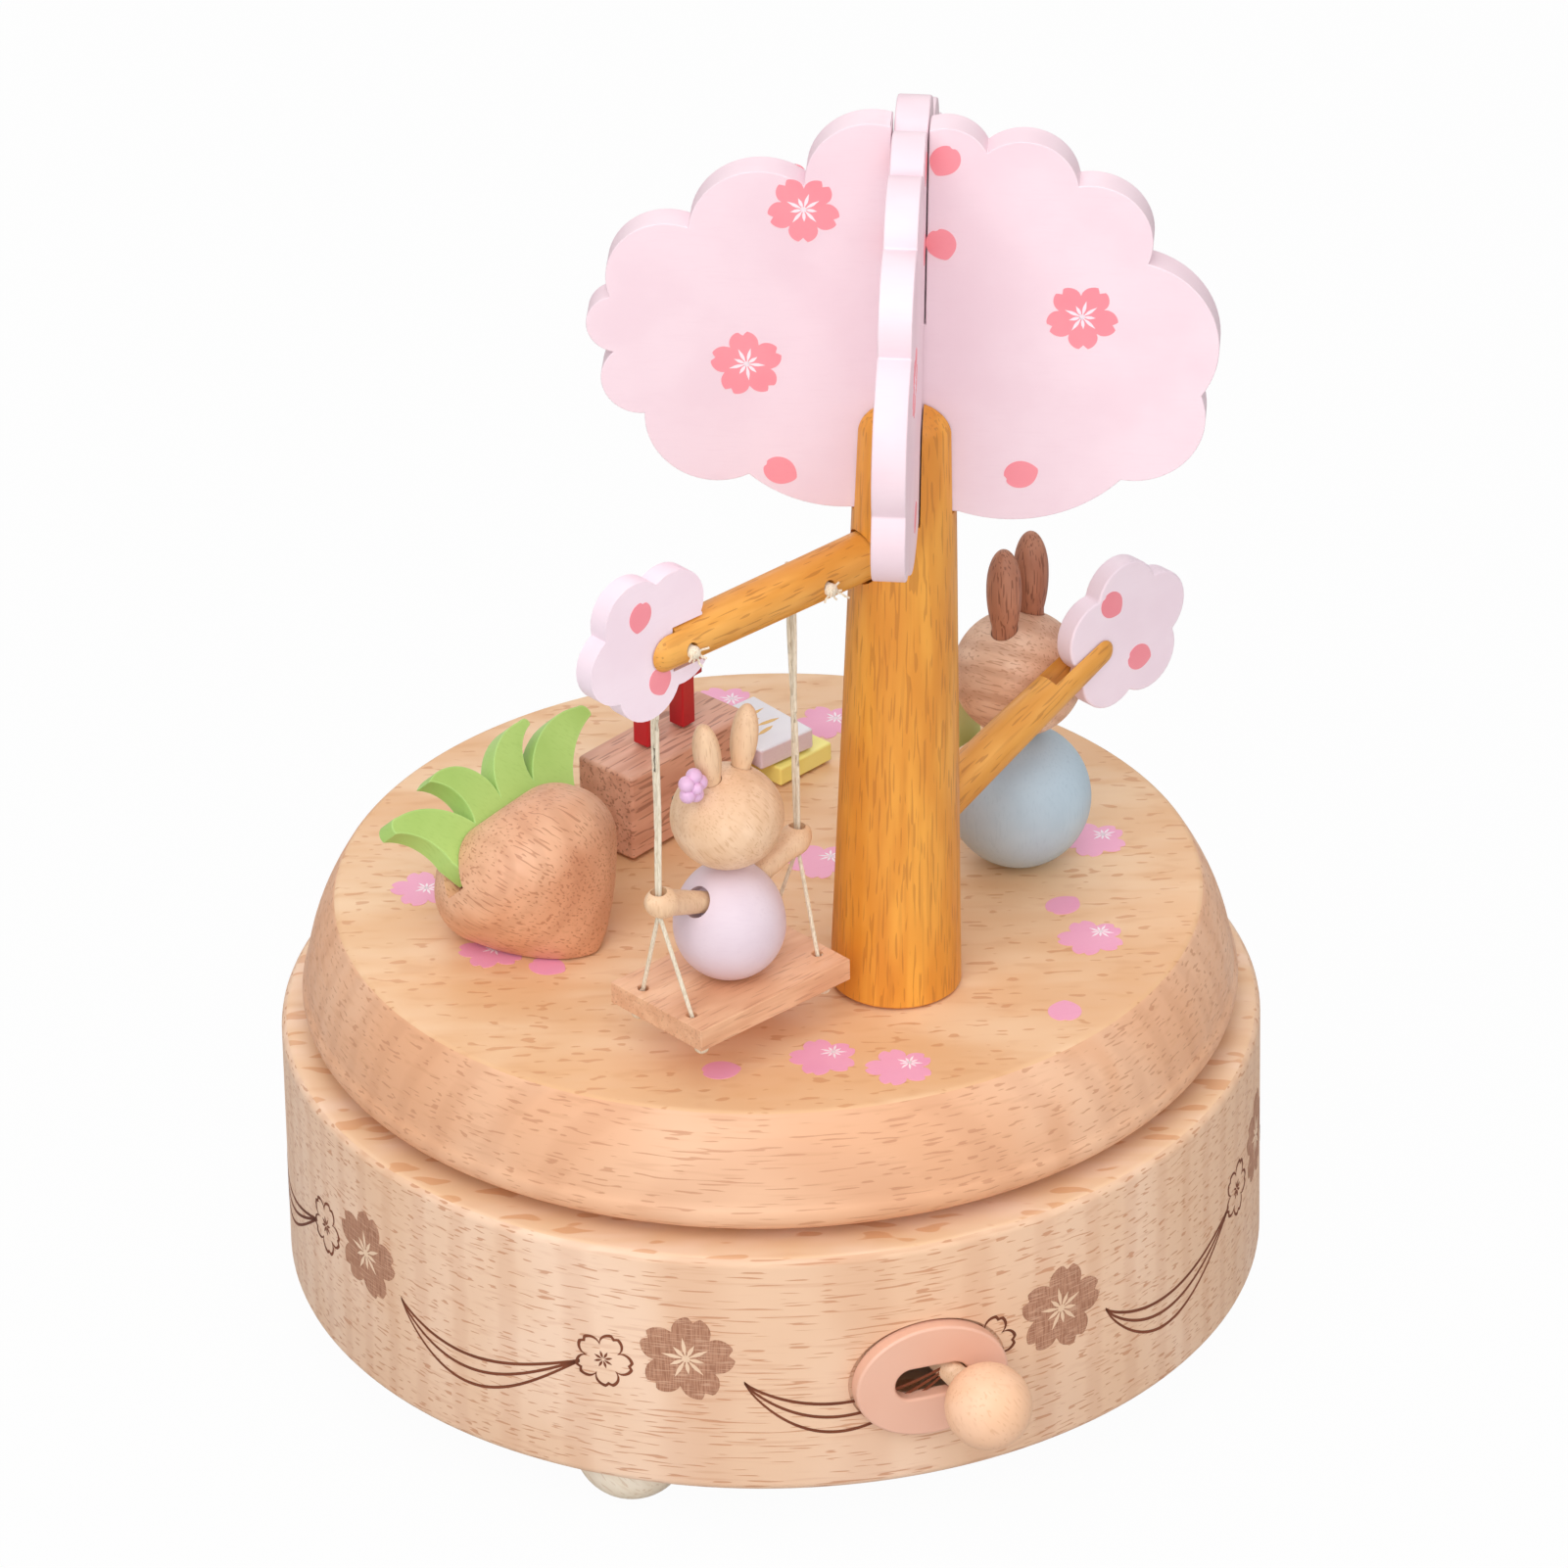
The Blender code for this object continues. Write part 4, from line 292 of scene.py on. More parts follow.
class Nodes:
    """A small hand for wiring a tree of nodes."""

    def __init__(self, tree):
        self.tree = tree

    def node(self, kind, **settings):
        made = self.tree.nodes.new("ShaderNode" + kind)
        for key, value in settings.items():
            setattr(made, key, value)
        return made

    def wire(self, source, socket):
        self.tree.links.new(source, socket)

    def feed(self, value, socket):
        """Wire a socket or set three numbers or one."""
        if isinstance(value, bpy.types.NodeSocket):
            self.wire(value, socket)
        elif isinstance(value, (int, float)):
            socket.default_value = value
        else:
            socket.default_value = (*tuple(value)[:3], 1.0)

    def maths(self, operation, first, second=0.0):
        made = self.node("Math", operation=operation)
        self.feed(first, made.inputs[0])
        self.feed(second, made.inputs[1])
        return made.outputs[0]

    def blend(self, share, first, second, output):
        """Show a share of the second shader over the first."""
        made = self.node("MixShader")
        for source, socket in zip((share, first.outputs[0], second.outputs[0]), made.inputs):
            self.wire(source, socket)
        self.wire(made.outputs[0], self.tree.nodes[output].inputs["Surface"])


class Finish(Nodes):
    """The nodes of one finish."""

    def __init__(self, name):
        self.material = bpy.data.materials.new(name)
        self.material.use_nodes = True
        super().__init__(self.material.node_tree)
        self.shader = self.tree.nodes["Principled BSDF"]
        self.coordinate = self.node("TexCoord").outputs["Object"]

    def moved(self, place):
        """Object coordinates seen from a frame of a piece."""
        made = self.node("Mapping", vector_type='TEXTURE')
        made.inputs["Location"].default_value = place.to_translation()
        made.inputs["Rotation"].default_value = place.to_euler()
        self.wire(self.coordinate, made.inputs["Vector"])
        return made.outputs[0]

    def unrolled(self, radius):
        """Coordinates of a turned wall: along its circumference, outwards and up."""
        split = self.node("SeparateXYZ")
        self.wire(self.coordinate, split.inputs[0])
        x, y, z = split.outputs
        turn = self.maths('MULTIPLY', self.maths('ARCTAN2', x, self.maths('MULTIPLY', y, -1.0)), radius)
        squares = [self.maths('MULTIPLY', part, part) for part in (x, y)]
        reach = self.maths('SQRT', self.maths('ADD', *squares))
        joined = self.node("CombineXYZ")
        for value, socket in zip((turn, reach, z), joined.inputs):
            self.wire(value, socket)
        return joined.outputs[0]

    def scaled(self, vector, scale):
        made = self.node("Mapping")
        made.inputs["Scale"].default_value = scale
        self.wire(vector, made.inputs["Vector"])
        return made.outputs[0]

    def noise(self, vector, scale, detail, distortion=0.0):
        made = self.node("TexNoise")
        for socket, value in (("Scale", 1.0), ("Detail", detail), ("Roughness", 0.5),
                              ("Distortion", distortion)):
            made.inputs[socket].default_value = value
        self.wire(self.scaled(vector, scale), made.inputs["Vector"])
        return made.outputs["Fac"]

    def steps(self, source, low, high, start=0.0, end=1.0):
        """Map a value's range to another, smoothly."""
        made = self.node("MapRange", interpolation_type='SMOOTHSTEP')
        for socket, value in zip(("From Min", "From Max", "To Min", "To Max"), (low, high, start, end)):
            made.inputs[socket].default_value = value
        self.wire(source, made.inputs["Value"])
        return made.outputs["Result"]

    def mix(self, factor, first, second):
        """Mix two colours; a colour is a socket or three numbers."""
        made = self.node("Mix", data_type='RGBA')
        self.feed(factor, made.inputs[0])
        self.feed(first, made.inputs[6])
        self.feed(second, made.inputs[7])
        return made.outputs[2]

    def bump(self, height, distance, strength):
        made = self.node("Bump")
        made.inputs["Strength"].default_value = strength
        made.inputs["Distance"].default_value = distance
        self.wire(height, made.inputs["Height"])
        self.wire(made.outputs[0], self.shader.inputs["Normal"])

    def done(self, colour, roughness, metallic=0.0):
        self.feed(colour, self.shader.inputs["Base Color"])
        self.feed(roughness, self.shader.inputs["Roughness"])
        self.shader.inputs["Metallic"].default_value = metallic
        return self.material


def inverse(*sizes_in_mm):
    """Scales of a pattern whose marks have these sizes."""
    return tuple(1.0 / (size * MM) for size in sizes_in_mm)


def wood(name, light, dark, pore, place, pores, share, depth, band, rings=None, roughness=0.5):
    """Grained wood: tone bands, faint rays and short dark pores along the frame's X.

    Pores and bands are given by their sizes in millimetres. A higher share leaves fewer pores. Rings are
    growth rings, given as their spacing, strength and waviness, and how much each axis of the frame
    counts for the distance from their middle.
    """
    made = Finish(name)
    vector = made.moved(place)
    cloud = made.noise(vector, inverse(band[0] * 0.6, band[1] * 2.5, band[2] * 2.5), 2.0)
    tone = made.mix(made.steps(cloud, 0.30, 0.70), light, dark)
    bands = made.noise(vector, inverse(*band), 1.0, 0.6)
    tone = made.mix(made.steps(bands, 0.42, 0.66, 0.0, 0.6), tone, dark)
    if rings:
        spacing, strength, waviness, axes = rings
        away = made.node("VectorMath", operation='LENGTH')
        made.wire(made.scaled(vector, axes), away.inputs[0])
        sway = made.noise(vector, (0.25 / spacing,) * 3, 1.0)
        wave = made.maths('ADD', away.outputs["Value"], made.maths('MULTIPLY', sway, waviness))
        wave = made.maths('SINE', made.maths('MULTIPLY', wave, math.tau / spacing))
        tone = made.mix(made.steps(wave, 0.0, 1.0, 0.0, strength), tone, pore)
    rays = made.noise(vector, inverse(*(2.2 * size for size in pores)), 1.0)
    tone = made.mix(made.steps(rays, 0.55, 0.75, 0.0, 0.20), tone, pore)
    mark = made.steps(made.noise(vector, inverse(*pores), 0.0), share, share + 0.06)
    colour = made.mix(made.maths('MULTIPLY', mark, depth), tone, pore)
    made.bump(made.maths('SUBTRACT', 1.0, mark), 0.00004, 0.4)
    return made.done(colour, made.steps(rays, 0.3, 0.7, roughness - 0.05, roughness + 0.08))


def paint(name, colour, second, roughness, grain=0.0, place=Matrix(), rim=None):
    """Matt paint on wood: a slightly uneven coat, with faint grain in it where grain is over zero.

    A rim is the display colour of a highlight painted along the edges.
    """
    made = Finish(name)
    vector = made.moved(place)
    cloud = made.noise(vector, inverse(11.0, 11.0, 11.0), 3.0)
    tone = made.mix(made.steps(cloud, 0.35, 0.70, 0.0, 0.8), colour, second)
    fine = made.noise(vector, inverse(0.4, 0.4, 0.4), 2.0)
    if grain:
        streak = made.noise(vector, inverse(3.0, 0.3, 0.3), 2.0)
        tone = made.mix(made.steps(streak, 0.50, 0.75, 0.0, grain), tone, second)
    if rim:
        # Painted highlight: the edges, where the bevelled normal turns away from the face's own, are lightened
        # towards the rim colour.
        edge = made.node("Bevel", samples=6)
        edge.inputs["Radius"].default_value = 0.0005
        turned_away = made.node("VectorMath", operation='DOT_PRODUCT')
        made.wire(edge.outputs[0], turned_away.inputs[0])
        made.wire(made.node("NewGeometry").outputs["Normal"], turned_away.inputs[1])
        painted_highlight = made.steps(turned_away.outputs["Value"], 0.80, 0.999, 0.7, 0.0)
        tone = made.mix(painted_highlight, tone, shade(*rim))
    made.bump(fine, 0.00002, 0.25)
    return made.done(tone, made.steps(cloud, 0.3, 0.7, roughness - 0.05, roughness + 0.06))


def hatched(name, colour, second, bare):
    """A burnt fill: two sets of fine scorched lines with the wood between them."""
    made = Finish(name)
    vector = made.unrolled(DRUM_RADIUS)
    upright = made.noise(vector, inverse(0.16, 5.0, 2.6), 1.0)
    level = made.noise(vector, inverse(2.6, 5.0, 0.16), 1.0)
    tone = made.mix(made.steps(upright, 0.42, 0.60), colour, second)
    tone = made.mix(made.steps(level, 0.50, 0.68, 0.0, 0.65), tone, bare)
    return made.done(tone, 0.8)


def metal(name, colour, roughness):
    made = Finish(name)
    fine = made.noise(made.coordinate, inverse(2.0, 0.25, 0.25), 2.0)
    tone = made.mix(made.steps(fine, 0.3, 0.7, 0.0, 0.35), colour, [0.7 * part for part in colour])
    return made.done(tone, made.steps(fine, 0.3, 0.7, roughness - 0.06, roughness + 0.1), 1.0)


def cotton(name, colour, second):
    """Smooth thread with faint fibres along it."""
    made = Finish(name)
    fibres = made.noise(made.coordinate, inverse(0.15, 0.15, 1.2), 2.0)
    tone = made.mix(made.steps(fibres, 0.40, 0.70), colour, second)
    made.bump(fibres, 0.00006, 0.5)
    return made.done(tone, 0.9)


def colour_setting(name, description, display):
    return FloatVectorProperty(name=name, description=description, subtype='COLOR', min=0.0, max=1.0,
                               default=shade(*display))


class MusicBoxColours(bpy.types.PropertyGroup):
    """Colours that a user would change."""

    beech: colour_setting("Beech", "Light tone of the drum's wall", (245, 211, 184))
    table: colour_setting("Turntable", "Light tone of the turntable's wood", (238, 191, 156))
    trunk: colour_setting("Trunk stain", "Mustard stain of the trunk", (239, 167, 65))
    canopy: colour_setting("Canopy paint", "Pale pink of the canopy's boards", (245, 220, 228))
    print_pink: colour_setting("Print pink", "Prints on the turntable", (243, 169, 199))
    print_coral: colour_setting("Print coral", "Prints on the boards", (249, 152, 162))
    engraving: colour_setting("Engraving", "Burnt brown of the engraved lines", (124, 64, 36))


class MusicBoxSizes(bpy.types.PropertyGroup):
    """Sizes that a user would change."""

    turned_steps: IntProperty(name="Turned steps", description="Facets round a large turned piece",
                              min=48, max=256, default=180)
    print_lift: FloatProperty(name="Print lift", description="How far a print stands over its board",
                              subtype='DISTANCE', default=0.00004, precision=6)
    line_width: FloatProperty(name="Engraved line", description="Width of an engraved line",
                              subtype='DISTANCE', default=0.00042, precision=6)


def colours():
    return bpy.context.scene.music_box_colours


def sizes():
    return bpy.context.scene.music_box_sizes


# Frames that the grain follows, and how each axis counts for growth rings
LEVEL = turned(TURN)
UPRIGHT = LEANING @ turned(-QUARTER, 'Y')
ON_END = turned(-QUARTER, 'Y')
SLOPING = LEVEL @ turned(0.9, 'Y')
BRANCH = turned(TURN + BRANCH_ANGLE)
HEAD = DECK_FRAME @ Matrix.Translation(BIG_PLACE) @ along((-0.5, -0.9, 0.5))
BLOCK_FRAME = DECK_FRAME @ Matrix.Translation(BLOCK[0].to_3d()) @ turned(BLOCK[1])
TURNIP_FRAME = (DECK_FRAME @ Matrix.Translation(TURNIP_PLACE + Vector((-0.0045, 0.0, 0.001)))
                @ along((-0.1, -1.0, 0.45)) @ turned(-0.5))
ABOUT, ACROSS = (1.0, 1.0, 0.0), (0.05, 1.0, 0.12)

PALE = ((243, 209, 177), (231, 191, 154), (200, 150, 108))
TWIG = ((236, 172, 82), (220, 150, 58), (160, 92, 30))
TWIG_GRAIN = ((2.8, 0.28, 0.28), 0.65, 0.45, (16.0, 1.4, 1.4), None, 0.42)

# A row is its maker, its tones and what else its maker takes. A tone is the name of a colour that a
# user would change, or a display colour.
ROWS = {
    "beech_wall": (wood, ("beech", (233, 192, 158), (190, 122, 80)), LEVEL, (5.0, 1.2, 0.28), 0.655, 0.6,
                   (60.0, 9.0, 26.0), (0.0042, 0.15, 0.0015, ACROSS)),
    "beech_top": (wood, ("beech", (236, 196, 156), (214, 150, 100)), LEVEL, (4.4, 1.6, 2.0), 0.64, 0.6,
                  (20.0, 3.0, 6.0)),
    "table_wall": (wood, ("table", (228, 171, 131), (190, 128, 92)), LEVEL, (4.4, 1.2, 0.28), 0.66, 0.55,
                   (60.0, 8.0, 14.0), (0.0050, 0.15, 0.0015, ACROSS)),
    "table_top": (wood, ((241, 203, 164), (229, 179, 132), (205, 140, 95)), LEVEL, (2.3, 0.8, 0.6), 0.69,
                  0.6, (34.0, 5.0, 6.0)),
    "trunk_stain": (wood, ("trunk", (220, 141, 46), (160, 92, 30)), UPRIGHT, (4.6, 0.3, 0.3), 0.62, 0.38,
                    (30.0, 1.6, 1.6), None, 0.42),
    "branch_stain": (wood, TWIG, BRANCH, *TWIG_GRAIN),
    "rising_stain": (wood, TWIG, BRANCH @ turned(-RIGHT_BRANCH_RISE, 'Y'), *TWIG_GRAIN),
    "pale_wood": (wood, PALE, SLOPING, (1.4, 0.2, 0.2), 0.64, 0.4, (9.0, 1.2, 1.2),
                  (0.0021, 0.10, 0.0015, ABOUT)),
    "knob_wood": (wood, ((250, 204, 170), (244, 195, 157), (214, 156, 114)), SLOPING, (1.6, 0.3, 0.3),
                  0.68, 0.3, (12.0, 4.0, 4.0)),
    "foot_wood": (wood, ((255, 243, 224), (248, 232, 208), (206, 170, 134)), SLOPING, (2.4, 0.3, 0.3),
                  0.66, 0.4, (12.0, 3.0, 3.0)),
    "ear_wood": (wood, ((242, 206, 168), *PALE[1:]), ON_END, (2.4, 0.16, 0.16), 0.64, 0.35,
                 (7.0, 0.9, 0.9)),
    "rabbit_wood": (wood, ((248, 212, 184), (231, 186, 154), (180, 122, 88)), HEAD, (2.4, 0.22, 0.22), 0.63,
                    0.5, (10.0, 2.0, 2.0), (0.0030, 0.30, 0.002, ABOUT)),
    "dark_dowel": (wood, ((202, 142, 112), (180, 120, 92), (112, 66, 48)), ON_END, (3.4, 0.22, 0.22), 0.61,
                   0.6, (14.0, 1.2, 1.2)),
    "block_wood": (wood, ((228, 176, 150), (208, 152, 126), (140, 88, 68)), BLOCK_FRAME,
                   (4.2, 0.36, 0.34), 0.62, 0.6, (16.0, 1.6, 1.6)),
    "seat_wood": (wood, ((238, 187, 148), (222, 164, 126), (180, 120, 90)), SWING_FRAME,
                  (3.2, 0.3, 0.24), 0.65, 0.4, (14.0, 2.0, 1.2)),
    "turnip_wood": (wood, ((237, 187, 151), (222, 165, 129), (176, 114, 80)), TURNIP_FRAME,
                    (2.8, 0.27, 0.27), 0.63, 0.6, (9.0, 5.0, 5.0), (0.0038, 0.18, 0.002, ABOUT)),
    "cover_board": (paint, ((176, 144, 108), (160, 128, 94)), 0.8, 0.5),
    "pink_board": (paint, ("canopy", (240, 212, 221)), 0.5, 0.25, DECK_FRAME @ standing(CANOPY_ANGLE)),
    "flower_board": (paint, ((250, 230, 240), (244, 221, 232)), 0.5, 0.2,
                     DECK_FRAME @ standing(BRANCH_ANGLE)),
    # The leaf paint's last colour is a highlight painted along the leaf's edges.
    "leaf_paint": (paint, ((180, 213, 119), (162, 198, 101)), 0.5, 0.5, turned(0.9, 'Y'),
                   (192, 232, 148)),
    "red_paint": (paint, ((192, 24, 36), (168, 14, 28)), 0.35, 0.2),
    "lilac_paint": (paint, ((231, 214, 223), (221, 201, 212)), 0.45, 0.4, LEVEL),
    "bead_paint": (paint, ((234, 192, 224), (222, 178, 214)), 0.4),
    "blue_paint": (paint, ((188, 208, 221), (170, 192, 207)), 0.45, 0.5, ON_END),
    "yellow_paint": (paint, ((254, 243, 150), (250, 235, 130)), 0.5, 0.3, BLOCK_FRAME),
    "white_card": (paint, ((240, 236, 240), (230, 224, 232)), 0.6),
    "gold_mark": (paint, ((226, 176, 84), (206, 152, 66)), 0.4),
    "pink_plastic": (paint, ((235, 185, 161), (232, 179, 154)), 0.38),
    "print_pink": (paint, ("print_pink", (238, 158, 192)), 0.5, 0.3),
    "print_coral": (paint, ("print_coral", (244, 140, 152)), 0.5, 0.2),
    "print_white": (paint, ((252, 238, 244), (244, 226, 236)), 0.5),
    "engraved_line": (paint, ("engraving", (98, 48, 26)), 0.8),
    "engraved_fill": (hatched, ((184, 134, 106), (160, 110, 84), (214, 172, 144))),
    "engraved_bare": (paint, ((240, 208, 178), (228, 192, 160)), 0.6, 0.3),
    "eye_black": (paint, ((40, 34, 34), (28, 24, 24)), 0.25),
    "cotton": (cotton, ((238, 226, 204), (216, 200, 174))),
    "brass": (metal, ((230, 200, 130),), 0.3),
    "steel": (metal, ((196, 196, 200),), 0.32),
}
FINISHES = {}


def finish(name):
    """Each finish is made once, when a piece first asks for it."""
    if name not in FINISHES:
        maker, tones, *rest = ROWS[name]
        tones = [getattr(colours(), tone) if isinstance(tone, str) else shade(*tone) for tone in tones]
        FINISHES[name] = maker(name, *tones, *rest)
    return FINISHES[name]


# Shapes


def bow(start, end, bulge, steps):
    """Points after start, up to end, on an arc that stands bulge to the right of its chord."""
    first, last = Vector(start), Vector(end)
    half = (last - first).length / 2.0
    right = Vector((last.y - first.y, first.x - last.x)).normalized()
    radius = (half * half + bulge * bulge) / (2.0 * bulge)
    centre = (first + last) / 2.0 + right * (bulge - radius)
    begin = math.atan2(first.y - centre.y, first.x - centre.x)
    sweep = 4.0 * math.atan(bulge / half)
    arc = []
    for step in range(1, steps + 1):
        angle = begin + sweep * step / steps
        arc.append((centre.x + abs(radius) * math.cos(angle), centre.y + abs(radius) * math.sin(angle)))
    return arc


def scalloped(start, arcs, steps, unit):
    """A closed outline of arcs; each arc is (x, y, bulge), in the unit's lengths."""
    outline, here = [], start
    for x, y, bulge in arcs:
        outline += bow(here, (x, y), bulge, steps) if bulge else [(x, y)]
        here = (x, y)
    return [(x * unit, y * unit) for x, y in outline]


def petalled(radius, first_angle):
    """Outline of a blossom board with five round petals."""
    valley, share = 0.80 * radius, math.pi / 5.0
    outline = []
    for petal in range(5):
        ends = []
        for side in (-share, share):
            angle = first_angle + 2.0 * share * petal + side
            ends.append((valley * math.cos(angle), valley * math.sin(angle)))
        outline += bow(*ends, radius - valley * math.cos(share), 14)
    return outline


def egg(radius, below, above, floor, rings):
    """Half outline of an egg about its widest height, cut flat at the floor below it."""
    low = -math.asin(min(1.0, floor / below))
    points = [(0.0, -floor)]
    for ring in range(rings + 1):
        angle = low + (QUARTER - low) * ring / rings
        reach = below if angle < 0.0 else above
        points.append((radius * math.cos(angle), reach * math.sin(angle)))
    points[-1] = (0.0, above)
    return points


def dome(radius, base, height):
    """Half outline of a round end, from its rim to its tip."""
    angles = [QUARTER * step / 16.0 for step in range(16)]
    rim = [(radius * math.cos(angle), base + height * math.sin(angle)) for angle in angles]
    return rim + [(0.0, base + height)]


def spun(profile, steps=96):
    """A turned solid from half an outline of (radius, height) points."""
    bm = bmesh.new()
    verts = [bm.verts.new((radius, 0.0, height)) for radius, height in profile]
    edges = [bm.edges.new(pair) for pair in zip(verts, verts[1:])]
    if profile[0][0] > TINY:
        edges.append(bm.edges.new((verts[-1], verts[0])))
    bmesh.ops.spin(bm, geom=verts + edges, cent=(0, 0, 0), axis=(0, 0, 1), dvec=(0, 0, 0),
                   angle=math.tau, steps=steps, use_merge=True)
    bmesh.ops.remove_doubles(bm, verts=bm.verts, dist=TINY)
    return bm


def peg(radius, start, end, steps=32):
    return spun([(0.0, start), (radius, start), (radius, end), (0.0, end)], steps)


def verts_of(made):
    return [item for item in made["geom"] if isinstance(item, bmesh.types.BMVert)]


def lifted(bm, faces, height):
    """Extrude faces straight up, and return the new verts."""
    top = verts_of(bmesh.ops.extrude_face_region(bm, geom=faces))
    bmesh.ops.translate(bm, verts=top, vec=(0.0, 0.0, height))
    return top


def slab(outline, thickness):
    """A flat solid: an outline in X and Y, half its thickness to each side."""
    bm = bmesh.new()
    face = bm.faces.new([bm.verts.new((x, y, -thickness / 2.0)) for x, y in outline])
    lifted(bm, [face], thickness)
    return bm


def oval(width, height):
    angles = [math.tau * step / 96.0 for step in range(96)]
    return [(width / 2.0 * math.cos(angle), height / 2.0 * math.sin(angle)) for angle in angles]


def stadium(width, height):
    """A slot's outline: straight sides with round ends."""
    flat = (width - height) / 2.0
    right = bow((flat, -height / 2.0), (flat, height / 2.0), height / 2.0, 16)
    left = bow((-flat, height / 2.0), (-flat, -height / 2.0), height / 2.0, 16)
    return [(flat, -height / 2.0)] + right + [(-flat, height / 2.0)] + left


def brick(size):
    bm = bmesh.new()
    bmesh.ops.create_cube(bm, size=1.0, matrix=Matrix.Diagonal((*size, 1.0)))
    return bm


def moved(bm, place):
    bmesh.ops.transform(bm, matrix=place, verts=bm.verts)
    return bm


def joined(*shapes):
    """One bmesh of several closed shells."""
    whole = shapes[0]
    for shape in shapes[1:]:
        mesh = bpy.data.meshes.new("shell")
        bmesh.ops.recalc_face_normals(shape, faces=shape.faces)
        shape.to_mesh(mesh)
        shape.free()
        whole.from_mesh(mesh)
        bpy.data.meshes.remove(mesh)
    return whole


def carved(bm, *cutters):
    """Cut shapes out of a solid, and return what is left."""
    objects = []
    for shape in (bm, *cutters):
        bmesh.ops.recalc_face_normals(shape, faces=shape.faces)
        mesh = bpy.data.meshes.new("blank")
        shape.to_mesh(mesh)
        shape.free()
        blank = bpy.data.objects.new("blank", mesh)
        bpy.context.scene.collection.objects.link(blank)
        objects.append(blank)
    for cutter in objects[1:]:
        cut = objects[0].modifiers.new("Cut", 'BOOLEAN')
        cut.operation = 'DIFFERENCE'
        cut.solver = 'EXACT'
        cut.object = cutter
    result = bmesh.new()
    result.from_object(objects[0], bpy.context.evaluated_depsgraph_get())
    for blank in objects:
        mesh = blank.data
        bpy.data.objects.remove(blank, do_unlink=True)
        bpy.data.meshes.remove(mesh)
    bmesh.ops.remove_doubles(result, verts=result.verts, dist=TINY)
    return result


def settle(name, bm, material, body, nodes=(), place=Matrix(), bevel=0.0, top=None):
    """Turn a bmesh into a piece at the origin that rides on a body and stands for CAD nodes.

    The faces that look straight up take the top finish where one is given.
    """
    moved(bm, place)
    bmesh.ops.recalc_face_normals(bm, faces=bm.faces)
    mesh = bpy.data.meshes.new(name)
    bm.to_mesh(mesh)
    bm.free()
    mesh.materials.append(finish(material))
    if top:
        mesh.materials.append(finish(top))
        for face in mesh.polygons:
            face.material_index = int(face.normal.z > 0.85)
    mesh.shade_smooth()
    mesh.set_sharp_from_angle(angle=SMOOTH_ANGLE)
    piece = bpy.data.objects.new(name, mesh)
    bpy.context.scene.collection.objects.link(piece)
    if bevel:
        rounding = piece.modifiers.new("Bevel", 'BEVEL')
        rounding.width = bevel
        rounding.segments = 3
        rounding.limit_method = 'ANGLE'
        rounding.angle_limit = math.radians(50.0)
        rounding.harden_normals = True
    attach(piece, body)
    if nodes:
        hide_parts(*nodes)


def flat_shape(bm, radius_at, segments, place, thickness):
    """Add a thin flat shape whose edge lies at radius_at(angle)."""
    made = bmesh.ops.create_circle(bm, cap_ends=True, segments=segments, radius=1.0)["verts"]
    for vert in made:
        vert.co *= radius_at(math.atan2(vert.co.y, vert.co.x))
    top = lifted(bm, [made[0].link_faces[0]], thickness)
    bmesh.ops.transform(bm, matrix=place, verts=made + top)


def outline_ring(bm, edge, segments, place, width):
    """Add a closed line of even width along a blossom's edge."""
    rings = []
    for offset in (0.0, -width):
        verts = bmesh.ops.create_circle(bm, cap_ends=False, segments=segments, radius=1.0)["verts"]
        for vert in verts:
            vert.co *= edge(math.atan2(vert.co.y, vert.co.x)) + offset
        rings += verts
    rims = list({rim for vert in rings for rim in vert.link_edges})
    top = lifted(bm, bmesh.ops.bridge_loops(bm, edges=rims)["faces"], FILM)
    bmesh.ops.transform(bm, matrix=place, verts=rings + top)


def swag(bm, start, end, sag, width):
    """Add one line of a hanging swag, lowest a little before its middle."""
    steps = 36
    low = SWAG_DEPTH + SWAG_SPREAD * sag
    verts = []
    for step in range(steps + 1):
        share = step / steps
        x = start + (end - start) * share
        bend = math.sin(math.pi * share ** 0.8) * (1.0 + 0.15 * sag)
        z = SWAG_TOP + 0.0006 * share - low * bend
        verts.append(bm.verts.new((x, z - width / 2.0, 0.0)))
    edges = [bm.edges.new(pair) for pair in zip(verts, verts[1:])]
    made = bmesh.ops.extrude_edge_only(bm, edges=edges)
    bmesh.ops.translate(bm, verts=verts_of(made), vec=(0.0, width, 0.0))
    lifted(bm, [item for item in made["geom"] if isinstance(item, bmesh.types.BMFace)], FILM)


def blossom_edge(radius, turn, notch=0.15):
    """Edge of a five-petalled blossom with a nick in each petal's tip."""
    def edge(angle):
        petal = abs(math.cos(2.5 * (angle - turn)))
        away = (angle - turn) % (math.tau / 5.0)
        away = min(away, math.tau / 5.0 - away)
        nick = max(0.0, 1.0 - away / 0.13)
        return radius * (0.60 + 0.40 * petal ** 0.55 - notch * nick)
    return edge


def petal_edge(radius, turn):
    """Edge of a fallen petal, pointed at one end and nicked at the other."""
    def edge(angle):
        away = abs((angle - turn + math.pi) % math.tau - math.pi)
        nick = max(0.0, 1.0 - away / 0.22)
        point = max(0.0, 1.0 - (math.pi - away) / 0.8)
        return radius * (0.92 - 0.14 * nick + 0.16 * point * point + 0.04 * math.cos(2.0 * away))
    return edge


def streak_edge(length, width):
    """Edge of a long thin mark with round ends."""
    def edge(angle):
        c, s = abs(math.cos(angle)), abs(math.sin(angle))
        return 1.0 / ((2.0 * c / length) ** 2.5 + (2.0 * s / width) ** 2.5) ** 0.4
    return edge


def flat_at(place, x, y, angle=0.0, lift=0.0):
    return place @ at(x, y, lift) @ turned(angle)


